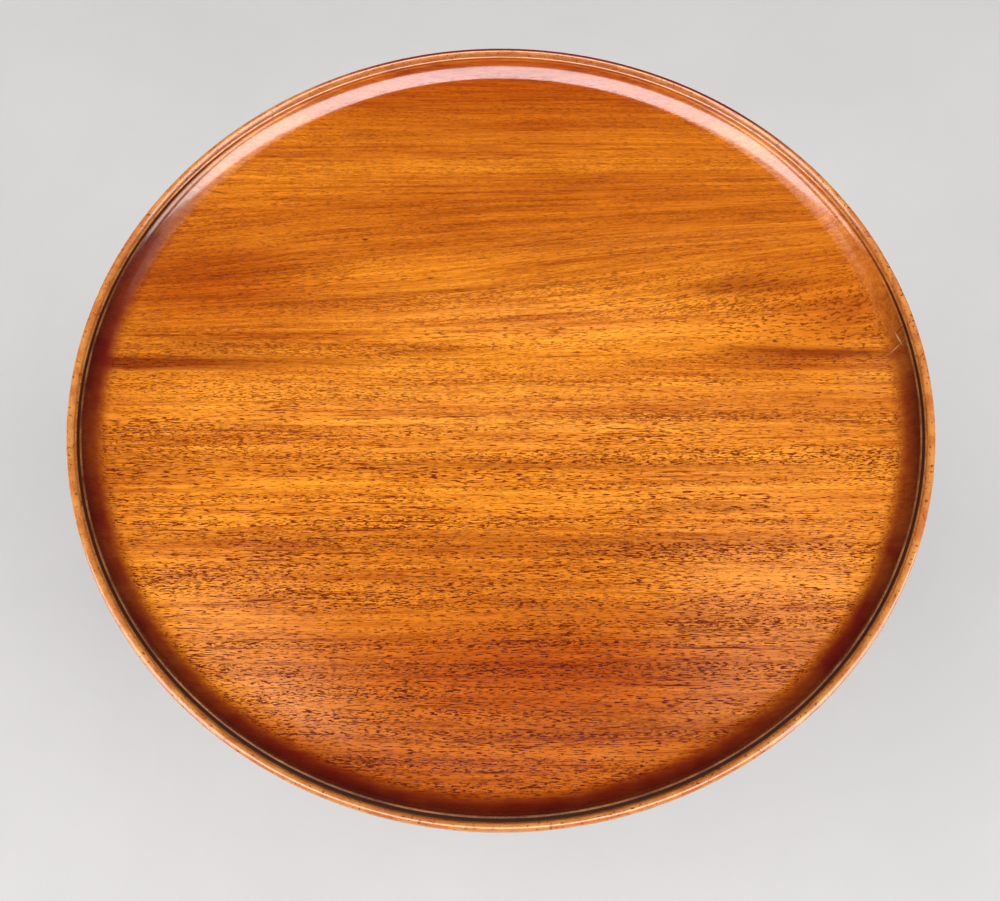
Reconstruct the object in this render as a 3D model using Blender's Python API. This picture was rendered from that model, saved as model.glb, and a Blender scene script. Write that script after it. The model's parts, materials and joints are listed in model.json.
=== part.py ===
"""Tilt-top wine table.

A round dished top tips up on two wooden pivots at the front edge of a block, and a
sprung brass catch at the block's rear edge holds it level. The block is wedged on the
tenon of a turned column, which stands on three cabriole legs. Lengths are in metres,
+Z is up, the origin lies on the floor under the column, and the pivots lie towards -Y.
"""

import math
from typing import NamedTuple

import bmesh
import bpy
from mathutils import Matrix, Vector

# Fits and cutters
CLEARANCE = 0.0003  # between two pieces that touch
OVERRUN = 0.004  # how far a cutter reaches past the face it cuts
WELD_DISTANCE = 0.00002
CREASE_ANGLE = math.radians(32)

# Facets round a turned piece
TOP_SIDES = 72
COLUMN_SIDES = 24
PIVOT_SIDES = 24
FOOT_SIDES = 20
SMALL_SIDES = 10

# Steps along a curve
COVE_STEPS = 7
BEAD_STEPS = 6
UNDERCUT_STEPS = 4
CAP_COVE_STEPS = 4
RING_STEPS = 4
VASE_STEPS = 2
LEG_STEPS = 2
LEG_SECTION_POINTS = 14
BLOCK_ROUNDING_STEPS = 6
ARM_TIP_STEPS = 6
EDGE_SEGMENTS = 2
CORNER_SEGMENTS = 3

# Dished top
TOP_DIAMETER = 0.600
TABLE_HEIGHT = 0.710  # floor to the crest of the rim
TOP_THICKNESS = 0.0245
FIELD_THICKNESS = 0.011
BEAD_RADIUS = 0.00256
QUIRK_WIDTH = 0.0026
LIP_WIDTH = 0.0013
LIP_DROP = 0.0048  # from the bead's crest to the lip
QUIRK_DEPTH = 0.0006  # below the lip
QUIRK_BOTTOM_SHARE = 0.35
COVE_WIDTH = 0.0145
EDGE_BAND_HEIGHT = 0.0035  # flat band under the bead
UNDERCUT_WIDTH = 0.015  # rounding from that band to the underside

# Tilting block and its pivots
BLOCK_WIDTH = 0.150
BLOCK_DEPTH = 0.150
BLOCK_THICKNESS = 0.034
BLOCK_CHAMFER = 0.005
PIVOT_INSET = 0.017  # from the pivots' axis to the block's top face and to its front face
PIVOT_RADIUS = 0.007
PIVOT_LENGTH = 0.0225

# Bearers under the top
BEARER_WIDTH = 0.024
BEARER_DEPTH = 0.034
BEARER_LENGTH = 0.480
BEARER_EDGE_BEVEL = 0.002
BEARER_SCREW_SPACING = 0.165
BEARER_SCREW_BITE = 0.008  # how far its screws enter the top
# Half of a bearer's lower edge: share of the half length, share of the depth
BEARER_SHARES = (
    (0.40, 1.00),
    (0.52, 0.97),
    (0.64, 0.86),
    (0.76, 0.68),
    (0.87, 0.52),
    (0.95, 0.44),
    (0.99, 0.39),
    (1.00, 0.30),
)

# Column, from the block down
TENON_RADIUS = 0.019
CAP_RADIUS = 0.030
CAP_BAND_HEIGHT = 0.006
CAP_COVE_HEIGHT = 0.018
NECK_RADIUS = 0.0175
NECK_RING_RADIUS = 0.0225
NECK_RING_HEIGHT = 0.007
SHAFT_FOOT_RADIUS = 0.0235
VASE_RING_RADIUS = 0.0305
VASE_RING_HEIGHT = 0.010
VASE_RADIUS = 0.043
VASE_HEIGHT = 0.165
FOOT_RING_RADIUS = 0.0415
FOOT_RING_HEIGHT = 0.013
FILLET_HEIGHT = 0.0022
FILLET_RADIUS_SHARE = 0.43  # of a ring's projection
HUB_RADIUS = 0.034
HUB_MARGIN = 0.0115  # plain hub above the legs
HUB_BEVEL = 0.002
HUB_BOTTOM_Z = 0.126
# The vase from its neck to its foot: share of its height, share of its greatest radius
VASE_SHARES = (
    (0.00, 0.46),
    (0.18, 0.51),
    (0.38, 0.69),
    (0.57, 0.93),
    (0.71, 1.00),
    (0.84, 0.90),
    (0.93, 0.70),
    (1.00, 0.60),
)
# The shaft from its neck down: share of its length, share of its swelling
SHAFT_SHARES = ((0.00, 0.00), (0.25, 0.20), (0.50, 0.52), (0.75, 0.85), (0.92, 1.00), (1.00, 0.82))

# Wedge in the tenon's kerf
WEDGE_DEPTH = 0.024
WEDGE_HEAD = 0.0045
WEDGE_TIP = 0.0015
WEDGE_SETBACK = 0.0012  # how far its ends stay inside the tenon's side

# Cabriole legs
LEG_NAMES = ("leg_front_right", "leg_rear", "leg_front_left")
LEG_BEARINGS = tuple(math.radians(bearing) for bearing in (-30, 90, 210))
FOOT_REACH = 0.262
LEG_DEPTH = 0.086
LEG_WIDTH = 0.035
LEG_SEAT_DEPTH = 0.0015  # how far the spider's arms are let into the leg
FOOT_RADIUS = 0.026
FOOT_HEIGHT = 0.016
FOOT_BASE_RADIUS = 0.0215
DOVETAIL_DEPTH = 0.011
DOVETAIL_NECK = 0.013
DOVETAIL_TAIL = 0.018
DOVETAIL_SHOULDER = 0.0065  # leg above its dovetail
# Stations along a leg, as shares: reach from hub to foot, height above the foot's middle,
# depth, width, and squareness of the section
LEG_SHARES = (
    (-0.070, 1.000, 1.000, 0.86, 0.45),
    (0.070, 1.006, 1.010, 0.92, 0.48),
    (0.200, 0.984, 0.955, 1.00, 0.55),
    (0.325, 0.914, 0.770, 1.00, 0.62),
    (0.443, 0.768, 0.595, 0.92, 0.70),
    (0.553, 0.592, 0.465, 0.81, 0.78),
    (0.658, 0.412, 0.380, 0.72, 0.86),
    (0.763, 0.256, 0.315, 0.65, 0.92),
    (0.860, 0.150, 0.270, 0.62, 0.96),
    (0.940, 0.075, 0.225, 0.68, 1.00),
    (1.010, 0.010, 0.120, 0.70, 1.00),
)
# The upper side of a pad foot from its middle: share of the radius, share of the height
FOOT_SHARES = ((0.00, 1.00), (0.48, 0.97), (0.76, 0.84), (0.93, 0.63), (1.00, 0.38))

# Iron spider under the hub
SPIDER_THICKNESS = 0.003
SPIDER_HUB_RADIUS = 0.024
SPIDER_ARM_REACH = 0.080
SPIDER_ARM_WIDTH = 0.017
SPIDER_ARM_SCREW_SETBACK = 0.012  # from an arm's end

# Brass catch under the top
CASE_LENGTH = 0.036
CASE_WIDTH = 0.019
CASE_HEIGHT = 0.0128
CASE_END_WALL = 0.0025
CASE_BEVEL = 0.0012
FLANGE_WIDTH = 0.046
FLANGE_THICKNESS = 0.002
FLANGE_CORNER = 0.003
FLANGE_SCREW_SPACING_X = 0.035
FLANGE_SCREW_SPACING_Y = 0.022
BOLT_WIDTH = 0.012
BOLT_HEIGHT = 0.006
BOLT_DROP = 0.0042  # from the underside of the top to the bolt
BOLT_GRIP = 0.005  # how far the nose enters the block
BOLT_TRAVEL = 0.007
BOLT_BODY_LENGTH = 0.016  # inside the case
BOLT_TAIL_RADIUS = 0.0014
BOLT_TAIL_LENGTH = 0.009
NOSE_BEVEL_SHARE = 0.8  # of the bolt's height
KNOB_RADIUS = 0.0055
KNOB_SHANK_RADIUS = 0.002
KNOB_SHANK_ENTRY = 0.003
KNOB_LENGTH = 0.011
# Knob from its end to its shank: share of its length, share of its radius
KNOB_SHARES = (
    (0.00, 0.55),
    (0.10, 0.86),
    (0.25, 1.00),
    (0.42, 0.90),
    (0.58, 0.62),
    (0.74, 0.46),
    (0.88, 0.56),
    (1.00, 0.72),
)
SPRING_WIRE_RADIUS = 0.00045
SPRING_TURNS = 7
SPRING_POINTS_PER_TURN = 8

# Keeper let into the block
KEEPER_WIDTH = 0.044
KEEPER_HEIGHT = 0.018
KEEPER_THICKNESS = 0.002
KEEPER_SCREW_SPACING = 0.031


class ScrewSize(NamedTuple):
    """Sizes of a countersunk wood screw."""

    head_radius: float
    shank_radius: float
    slot_width: float
    slot_depth: float
    length: float


LARGE_HEAD_RADIUS = 0.0042
LARGE_SHANK_RADIUS = 0.0021
LARGE_SLOT_WIDTH = 0.0010
LARGE_SLOT_DEPTH = 0.0011
SMALL_HEAD_RADIUS = 0.0030
SMALL_SHANK_RADIUS = 0.0014
SMALL_SLOT_WIDTH = 0.0007
SMALL_SLOT_DEPTH = 0.0008
BEARER_SCREW_LENGTH = 0.030
SPIDER_SCREW_LENGTH = 0.022
CATCH_SCREW_LENGTH = 0.009
KEEPER_SCREW_LENGTH = 0.013
LARGE_SCREW = (LARGE_HEAD_RADIUS, LARGE_SHANK_RADIUS, LARGE_SLOT_WIDTH, LARGE_SLOT_DEPTH)
SMALL_SCREW = (SMALL_HEAD_RADIUS, SMALL_SHANK_RADIUS, SMALL_SLOT_WIDTH, SMALL_SLOT_DEPTH)
BEARER_SCREW = ScrewSize(*LARGE_SCREW, BEARER_SCREW_LENGTH)
SPIDER_SCREW = ScrewSize(*LARGE_SCREW, SPIDER_SCREW_LENGTH)
CATCH_SCREW = ScrewSize(*SMALL_SCREW, CATCH_SCREW_LENGTH)
KEEPER_SCREW = ScrewSize(*SMALL_SCREW, KEEPER_SCREW_LENGTH)
SCREW_POINT_SHARE = 0.30  # of the length, tapering to the tip
SCREW_TIP_SHARE = 0.35  # of the shank's radius, left at the tip

# Linear colour, roughness and metallic of each finish
FINISHES = {
    "top_mahogany": ((0.47, 0.16, 0.03), 0.25, 0),
    "base_mahogany": ((0.30, 0.07, 0.015), 0.30, 0),
    "frame_mahogany": ((0.25, 0.07, 0.02), 0.55, 0),
    "catch_brass": ((0.70, 0.50, 0.22), 0.32, 1),
    "spider_iron": ((0.09, 0.08, 0.075), 0.65, 1),
    "screw_steel": ((0.45, 0.44, 0.42), 0.40, 1),
    "spring_steel": ((0.30, 0.30, 0.32), 0.35, 1),
}

# Levels and places that follow from the sizes
UNDERSIDE_Z = TABLE_HEIGHT - TOP_THICKNESS
BLOCK_TOP_Z = UNDERSIDE_Z - CLEARANCE
BLOCK_BOTTOM_Z = BLOCK_TOP_Z - BLOCK_THICKNESS
BLOCK_REAR_Y = BLOCK_DEPTH / 2
BLOCK_SIDE_X = BLOCK_WIDTH / 2
PIVOT_PLACE = Vector((0, PIVOT_INSET - BLOCK_DEPTH / 2, BLOCK_TOP_Z - PIVOT_INSET))
SHOULDER_Z = BLOCK_BOTTOM_Z - CLEARANCE
LEG_TOP_Z = HUB_BOTTOM_Z + LEG_DEPTH - LEG_SEAT_DEPTH
LEG_CENTRE_Z = LEG_TOP_Z - LEG_DEPTH / 2
HUB_TOP_Z = LEG_TOP_Z + HUB_MARGIN
DOVETAIL_TOP_Z = LEG_TOP_Z - DOVETAIL_SHOULDER
SPIDER_TOP_Z = HUB_BOTTOM_Z - CLEARANCE
SPIDER_BOTTOM_Z = SPIDER_TOP_Z - SPIDER_THICKNESS
SPIDER_SCREW_REACH = SPIDER_ARM_REACH - SPIDER_ARM_SCREW_SETBACK
# The case's front clears the block's rear top edge as the top swings up about the pivots
KEEPER_ARM = BLOCK_REAR_Y - PIVOT_PLACE.y
CASE_FRONT_Y = PIVOT_PLACE.y + math.hypot(KEEPER_ARM, PIVOT_INSET) + CLEARANCE
CASE_REAR_Y = CASE_FRONT_Y + CASE_LENGTH
BOLT_TOP_Z = UNDERSIDE_Z - BOLT_DROP
BOLT_BOTTOM_Z = BOLT_TOP_Z - BOLT_HEIGHT
BOLT_AXIS_Z = BOLT_TOP_Z - BOLT_HEIGHT / 2
BOLT_TIP_Y = BLOCK_REAR_Y - BOLT_GRIP
BOLT_SHOULDER_Y = CASE_FRONT_Y + BOLT_BODY_LENGTH
CATCH_CENTRE_Y = CASE_FRONT_Y + CASE_LENGTH / 2
CASE_TOP_Z = UNDERSIDE_Z - CLEARANCE
CASE_BOTTOM_Z = CASE_TOP_Z - CASE_HEIGHT
FLANGE_BOTTOM_Z = CASE_TOP_Z - FLANGE_THICKNESS
KNOB_Y = CASE_FRONT_Y + BOLT_BODY_LENGTH / 2


def principled(name, colour, roughness, metallic):
    """A material with one Principled shader."""
    material = bpy.data.materials.new(name)
    material.use_nodes = True
    shader = material.node_tree.nodes["Principled BSDF"]
    shader.inputs["Base Color"].default_value = (*colour, 1)
    shader.inputs["Roughness"].default_value = roughness
    shader.inputs["Metallic"].default_value = metallic
    return material


def new_object(name, mesh):
    """An object of this mesh, in the scene."""
    obj = bpy.data.objects.new(name, mesh)
    bpy.context.scene.collection.objects.link(obj)
    return obj


def make_cutter(obj):
    """Marks an object as a tool that isn't a piece of the table."""
    obj.hide_render = True
    obj.display_type = "WIRE"
    return obj


def boolean(target, tool, operation="DIFFERENCE"):
    """Cuts the tool from the target, or joins it on."""
    make_cutter(tool)
    modifier = target.modifiers.new(tool.name, "BOOLEAN")
    modifier.operation = operation
    modifier.solver = "EXACT"
    modifier.object = tool


def settle(obj, material):
    """Turns an object's modifiers into its mesh, then shades the mesh and gives it its material."""
    bpy.context.view_layer.update()
    graph = bpy.context.evaluated_depsgraph_get()
    mesh = bpy.data.meshes.new_from_object(obj.evaluated_get(graph))
    obj.modifiers.clear()
    obj.data = mesh
    mesh.name = obj.name
    mesh.materials.clear()
    mesh.materials.append(material)
    mesh.shade_smooth()
    mesh.set_sharp_from_angle(angle=CREASE_ANGLE)
    return obj


def hang(obj, parent):
    """Parents an object built in world coordinates to an empty, with its origin on the empty."""
    obj.data.transform(Matrix.Translation(-parent.matrix_world.translation) @ obj.matrix_basis)
    obj.matrix_basis = Matrix.Identity(4)
    obj.parent = parent


def empty(name, place, parent=None):
    """An empty that carries the pieces of one body."""
    holder = new_object(name, None)
    holder.location = place - parent.location if parent else place
    holder.parent = parent
    bpy.context.view_layer.update()
    return holder


def smooth_through(points, steps):
    """Points along a Catmull-Rom curve through the given ones, with these steps in each span."""
    vectors = [Vector(point) for point in points]
    padded = [2 * vectors[0] - vectors[1], *vectors, 2 * vectors[-1] - vectors[-2]]
    curve = []
    for before, start, end, after in zip(padded, padded[1:], padded[2:], padded[3:]):
        for step in range(steps):
            t = step / steps
            bend = 2 * before - 5 * start + 4 * end - after
            twist = 3 * start - before - 3 * end + after
            curve.append(start + ((end - before) * t + bend * t**2 + twist * t**3) / 2)
    curve.append(vectors[-1])
    return curve


def arc(centre, radius_r, radius_z, start, end, steps):
    """Points of an elliptical arc in a turned profile, between two angles in degrees."""
    angles = [math.radians(start + (end - start) * step / steps) for step in range(steps + 1)]
    return [
        (centre[0] + radius_r * math.cos(angle), centre[1] + radius_z * math.sin(angle))
        for angle in angles
    ]


def turned(name, profile, sides):
    """A solid turned about Z from a profile that runs from the axis, down its side, to the axis."""
    mesh = bpy.data.meshes.new(name)
    points = [(radius, 0, height) for radius, height in profile]
    edges = [(index, index + 1) for index in range(len(points) - 1)]
    mesh.from_pydata(points, edges, [])
    obj = new_object(name, mesh)
    screw = obj.modifiers.new("Turning", "SCREW")
    screw.steps = screw.render_steps = sides
    screw.use_merge_vertices = True
    screw.merge_threshold = WELD_DISTANCE
    return obj


def extruded(name, outline, axis, low, high):
    """A prism of an outline in the two other axes, between two places along the axis."""
    mesh = bpy.data.meshes.new(name)
    shape = bmesh.new()
    across = [index for index in range(3) if index != axis]
    ring = []
    for first, second in outline:
        point = [0, 0, 0]
        point[across[0]], point[across[1]], point[axis] = first, second, low
        ring.append(shape.verts.new(point))
    face = shape.faces.new(ring)
    sweep = bmesh.ops.extrude_face_region(shape, geom=[face])
    moved = [item for item in sweep["geom"] if isinstance(item, bmesh.types.BMVert)]
    way = Vector([high - low if index == axis else 0 for index in range(3)])
    bmesh.ops.translate(shape, verts=moved, vec=way)
    bmesh.ops.recalc_face_normals(shape, faces=shape.faces)
    shape.to_mesh(mesh)
    shape.free()
    return new_object(name, mesh)


def block(name, low, high):
    """A rectangular solid between two corners."""
    outline = ((low[0], low[1]), (high[0], low[1]), (high[0], high[1]), (low[0], high[1]))
    return extruded(name, outline, 2, low[2], high[2])


def rod(name, start, end, radius, sides):
    """A round bar between two places."""
    way = Vector(end) - Vector(start)
    profile = [(0, way.length), (radius, way.length), (radius, 0), (0, 0)]
    bar = turned(name, profile, sides)
    bar.rotation_euler = way.to_track_quat("Z", "Y").to_euler()
    bar.location = start
    return bar


def bevel_edges(obj, width, segments, chosen):
    """Rounds the edges that the test picks by the places of their two ends."""
    shape = bmesh.new()
    shape.from_mesh(obj.data)
    edges = [edge for edge in shape.edges if chosen(*(vert.co for vert in edge.verts))]
    bmesh.ops.bevel(
        shape, geom=edges, offset=width, segments=segments, profile=0.5, affect="EDGES"
    )
    shape.to_mesh(obj.data)
    shape.free()


def screw_profile(size, grown, bore):
    """Profile of a countersunk screw that points up from its head at zero.

    grown is added all round, and bore carries the head's width on below the head.
    """
    head = size.head_radius + grown
    shank = size.shank_radius + grown
    tip = size.length + grown
    point = size.length * (1 - SCREW_POINT_SHARE)
    cone = size.head_radius - size.shank_radius
    return [
        (0, tip),
        (size.shank_radius * SCREW_TIP_SHARE + grown, tip),
        (shank, point),
        (shank, cone + grown),
        (head, grown),
        (head, -bore),
        (0, -bore),
    ]


def aim(obj, place, way):
    """Places an object that points up, so that it points this way instead."""
    obj.rotation_euler = Vector(way).to_track_quat("Z", "X").to_euler()
    obj.location = place


def screw_and_cutter(name, size, place, way, bore=0):
    """A slotted screw with its head at the place, and the cutter of its hole."""
    profile = screw_profile(size, 0, 0)
    rim = profile.index((size.head_radius, 0))
    screw = turned(name, profile[: rim + 1] + profile[rim + 2 :], SMALL_SIDES)
    reach = size.head_radius + OVERRUN
    slot = block(
        f"{name}_slot",
        (-reach, -size.slot_width / 2, -OVERRUN),
        (reach, size.slot_width / 2, size.slot_depth),
    )
    hole = turned(
        f"{name}_hole", screw_profile(size, CLEARANCE, bore + OVERRUN), SMALL_SIDES
    )
    boolean(screw, slot)
    settle(screw, None)
    bpy.data.objects.remove(slot)
    for piece in (screw, hole):
        aim(piece, place, way)
    return screw, make_cutter(hole)


def dish_profile():
    """Section of the top from its field's middle, over the rim, to its underside's middle."""
    rim = TOP_DIAMETER / 2
    bead_r = rim - BEAD_RADIUS
    bead_z = TOP_THICKNESS - BEAD_RADIUS
    quirk_outer = rim - 2 * BEAD_RADIUS
    lip_outer = quirk_outer - QUIRK_WIDTH
    lip_inner = lip_outer - LIP_WIDTH
    lip_z = TOP_THICKNESS - LIP_DROP
    field_r = lip_inner - COVE_WIDTH
    quirk_r = quirk_outer - QUIRK_WIDTH * QUIRK_BOTTOM_SHARE
    cove = arc((field_r, lip_z), COVE_WIDTH, lip_z - FIELD_THICKNESS, -90, 0, COVE_STEPS)
    bead = arc((bead_r, bead_z), BEAD_RADIUS, BEAD_RADIUS, 180, 0, BEAD_STEPS)
    band_z = bead_z - EDGE_BAND_HEIGHT
    undercut_r = rim - UNDERCUT_WIDTH
    undercut = arc((undercut_r, band_z), UNDERCUT_WIDTH, band_z, 0, -90, UNDERCUT_STEPS)
    return [
        (0, FIELD_THICKNESS),
        *cove,
        (lip_outer, lip_z),
        (quirk_r, lip_z - QUIRK_DEPTH),
        (quirk_outer, lip_z),
        *bead,
        *undercut,
        (0, 0),
    ]


def make_top():
    """The dished top, as it comes off the lathe."""
    top = turned("table_top", dish_profile(), TOP_SIDES)
    top.location.z = UNDERSIDE_Z
    return top


def make_bearer(name, side):
    """One bearer, whose lower edge sweeps up to its ends; side is -1 on the left."""
    half = BEARER_LENGTH / 2
    top_z = UNDERSIDE_Z - CLEARANCE
    sweep = [(half * along, top_z - BEARER_DEPTH * down) for along, down in BEARER_SHARES]
    outline = [(half, top_z), *reversed(sweep)]
    outline += [(-along, height) for along, height in sweep] + [(-half, top_z)]
    inner = side * (BLOCK_SIDE_X + CLEARANCE)
    bearer = extruded(name, outline, 0, *sorted((inner, inner + side * BEARER_WIDTH)))
    end_z = top_z - BEARER_DEPTH * BEARER_SHARES[-1][1]
    floor = end_z - WELD_DISTANCE
    bevel_edges(bearer, BEARER_EDGE_BEVEL, EDGE_SEGMENTS, lambda a, b: max(a.z, b.z) < floor)
    ends = [Vector((across, *PIVOT_PLACE.yz)) for across in (inner, inner + side * BEARER_WIDTH)]
    past = Vector((side * OVERRUN, 0, 0))
    eye = rod(
        f"{name}_eye", ends[0] - past, ends[1] + past, PIVOT_RADIUS + CLEARANCE, PIVOT_SIDES
    )
    boolean(bearer, eye)
    return bearer


def bearer_screws(side_name, side):
    """The screws that draw a bearer up to the top, each sunk in its counterbore."""
    across = side * (BLOCK_SIDE_X + CLEARANCE + BEARER_WIDTH / 2)
    head_z = UNDERSIDE_Z + BEARER_SCREW_BITE - BEARER_SCREW.length
    pairs = []
    for place_name, step in (("front", -1), ("middle", 0), ("rear", 1)):
        place = (across, step * BEARER_SCREW_SPACING, head_z)
        name = f"bearer_screw_{side_name}_{place_name}"
        pairs.append(screw_and_cutter(name, BEARER_SCREW, place, (0, 0, 1), BEARER_DEPTH))
    return pairs


def make_block():
    """The tilting block: rounded over its pivots in front, bored for the column's tenon."""
    front = -BLOCK_REAR_Y
    rounding = arc(PIVOT_PLACE.yz, PIVOT_INSET, PIVOT_INSET, 180, 90, BLOCK_ROUNDING_STEPS)
    outline = [
        (BLOCK_REAR_Y, BLOCK_TOP_Z),
        (BLOCK_REAR_Y, BLOCK_BOTTOM_Z + BLOCK_CHAMFER),
        (BLOCK_REAR_Y - BLOCK_CHAMFER, BLOCK_BOTTOM_Z),
        (front + BLOCK_CHAMFER, BLOCK_BOTTOM_Z),
        (front, BLOCK_BOTTOM_Z + BLOCK_CHAMFER),
        *rounding,
    ]
    body = extruded("tilt_block", outline, 0, -BLOCK_SIDE_X, BLOCK_SIDE_X)
    reach = Vector((BLOCK_SIDE_X + PIVOT_LENGTH, 0, 0))
    pivots = rod(
        "block_pivots", PIVOT_PLACE - reach, PIVOT_PLACE + reach, PIVOT_RADIUS, PIVOT_SIDES
    )
    mortise = rod(
        "block_mortise",
        (0, 0, BLOCK_BOTTOM_Z - OVERRUN),
        (0, 0, BLOCK_TOP_Z + OVERRUN),
        TENON_RADIUS + CLEARANCE,
        COLUMN_SIDES,
    )
    half = KEEPER_WIDTH / 2 + CLEARANCE
    seat_y = BLOCK_REAR_Y - KEEPER_THICKNESS - CLEARANCE
    seat_z = BLOCK_TOP_Z - KEEPER_HEIGHT - CLEARANCE
    keeper_seat = block(
        "keeper_seat",
        (-half, seat_y, seat_z),
        (half, BLOCK_REAR_Y + OVERRUN, BLOCK_TOP_Z + OVERRUN),
    )
    boolean(body, pivots, "UNION")
    boolean(body, mortise)
    boolean(body, keeper_seat)
    boolean(body, nose_socket())
    return body


def nose_socket():
    """Cutter for the hole that the catch's nose enters, through the keeper and into the block."""
    half = BOLT_WIDTH / 2 + CLEARANCE
    return block(
        "nose_socket",
        (-half, BOLT_TIP_Y - CLEARANCE, BOLT_BOTTOM_Z - CLEARANCE),
        (half, BLOCK_REAR_Y + OVERRUN, BOLT_TOP_Z + CLEARANCE),
    )


def make_keeper():
    """The keeper plate, flush with the block's rear and top faces."""
    half = KEEPER_WIDTH / 2
    keeper = block(
        "keeper_plate",
        (-half, BLOCK_REAR_Y - KEEPER_THICKNESS, BLOCK_TOP_Z - KEEPER_HEIGHT),
        (half, BLOCK_REAR_Y, BLOCK_TOP_Z),
    )
    boolean(keeper, nose_socket())
    return keeper


def keeper_screws():
    """The two screws that hold the keeper to the block."""
    pairs = []
    for side_name, side in (("left", -1), ("right", 1)):
        place = (
            side * KEEPER_SCREW_SPACING / 2,
            BLOCK_REAR_Y,
            BLOCK_TOP_Z - KEEPER_HEIGHT / 2,
        )
        name = f"keeper_screw_{side_name}"
        pairs.append(screw_and_cutter(name, KEEPER_SCREW, place, (0, -1, 0)))
    return pairs


def ring_profile(base_radius, ring_radius, top, height):
    """A bead between two fillets, downwards from the top."""
    middle = top - height / 2
    half = height / 2 - FILLET_HEIGHT
    fillet = base_radius + (ring_radius - base_radius) * FILLET_RADIUS_SHARE
    bead = arc((fillet, middle), ring_radius - fillet, half, 90, -90, RING_STEPS)
    return [(fillet, top), *bead, (fillet, top - height)]


def column_profile():
    """Section of the column from the top of its tenon to the bottom of its hub."""
    cap_bottom = SHOULDER_Z - CAP_BAND_HEIGHT
    neck_top = cap_bottom - CAP_COVE_HEIGHT
    hollow = CAP_RADIUS - NECK_RADIUS
    cove = arc((CAP_RADIUS, neck_top), hollow, CAP_COVE_HEIGHT, 90, 180, CAP_COVE_STEPS)
    shaft_top = neck_top - NECK_RING_HEIGHT
    foot_ring_top = HUB_TOP_Z + FOOT_RING_HEIGHT
    vase_top = foot_ring_top + VASE_HEIGHT
    shaft_bottom = vase_top + VASE_RING_HEIGHT
    swell = SHAFT_FOOT_RADIUS - NECK_RADIUS
    shaft = [
        (NECK_RADIUS + swell * wide, shaft_top - (shaft_top - shaft_bottom) * down)
        for down, wide in SHAFT_SHARES
    ]
    vase = smooth_through(
        [(VASE_RADIUS * wide, vase_top - VASE_HEIGHT * down) for down, wide in VASE_SHARES],
        VASE_STEPS,
    )
    return [
        (0, BLOCK_TOP_Z),
        (TENON_RADIUS, BLOCK_TOP_Z),
        (TENON_RADIUS, SHOULDER_Z),
        (CAP_RADIUS, SHOULDER_Z),
        (CAP_RADIUS, cap_bottom),
        *cove[1:],
        *ring_profile(NECK_RADIUS, NECK_RING_RADIUS, neck_top, NECK_RING_HEIGHT),
        *shaft,
        *ring_profile(SHAFT_FOOT_RADIUS, VASE_RING_RADIUS, shaft_bottom, VASE_RING_HEIGHT),
        *(tuple(point) for point in vase),
        *ring_profile(HUB_RADIUS, FOOT_RING_RADIUS, foot_ring_top, FOOT_RING_HEIGHT),
        (HUB_RADIUS, HUB_TOP_Z),
        (HUB_RADIUS, HUB_BOTTOM_Z + HUB_BEVEL),
        (HUB_RADIUS - HUB_BEVEL, HUB_BOTTOM_Z),
        (0, HUB_BOTTOM_Z),
    ]


def wedge_solid(name, grown, rise):
    """The wedge's shape, grown all round, with its head raised by the given rise."""
    half = math.sqrt(TENON_RADIUS**2 - (WEDGE_HEAD / 2) ** 2) - WEDGE_SETBACK + grown
    head = WEDGE_HEAD / 2 + grown
    tip = WEDGE_TIP / 2 + grown
    bottom = BLOCK_TOP_Z - WEDGE_DEPTH - grown
    outline = (
        (-head, BLOCK_TOP_Z + rise),
        (-head, BLOCK_TOP_Z),
        (-tip, bottom),
        (tip, bottom),
        (head, BLOCK_TOP_Z),
        (head, BLOCK_TOP_Z + rise),
    )
    if not rise:
        outline = outline[1:5]
    return extruded(name, outline, 0, -half, half)


def dovetail(name, grown, top_z, bottom_z):
    """A dovetail along the hub towards +X, grown all round, between two levels."""
    neck = DOVETAIL_NECK / 2 + grown
    tail = DOVETAIL_TAIL / 2 + grown
    inner = HUB_RADIUS - DOVETAIL_DEPTH - grown
    outer = HUB_RADIUS + OVERRUN
    outline = (
        (inner, -tail),
        (HUB_RADIUS, -neck),
        (outer, -neck),
        (outer, neck),
        (HUB_RADIUS, neck),
        (inner, tail),
    )
    return extruded(name, outline, 2, bottom_z, top_z)


def make_column():
    """The turned column with its kerf and three dovetail sockets."""
    column = turned("column", column_profile(), COLUMN_SIDES)
    boolean(column, wedge_solid("tenon_kerf", CLEARANCE, OVERRUN))
    for leg_name, bearing in zip(LEG_NAMES, LEG_BEARINGS):
        socket = dovetail(
            f"{leg_name}_socket",
            CLEARANCE,
            DOVETAIL_TOP_Z + CLEARANCE,
            HUB_BOTTOM_Z - OVERRUN,
        )
        socket.rotation_euler.z = bearing
        boolean(column, socket)
    return column


def leg_section(station, along):
    """One ring of a leg: a rounded oblong square to the leg's run, centred on the station."""
    centre, depth, width, square = station
    normal = Vector((-along.z, 0, along.x))
    ring = []
    for index in range(LEG_SECTION_POINTS):
        angle = 2 * math.pi * (index + 0.5) / LEG_SECTION_POINTS
        lift = math.copysign(abs(math.sin(angle)) ** square, math.sin(angle))
        side = math.copysign(abs(math.cos(angle)) ** square, math.cos(angle))
        ring.append(centre + normal * depth / 2 * lift + Vector((0, width / 2 * side, 0)))
    return ring


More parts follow.
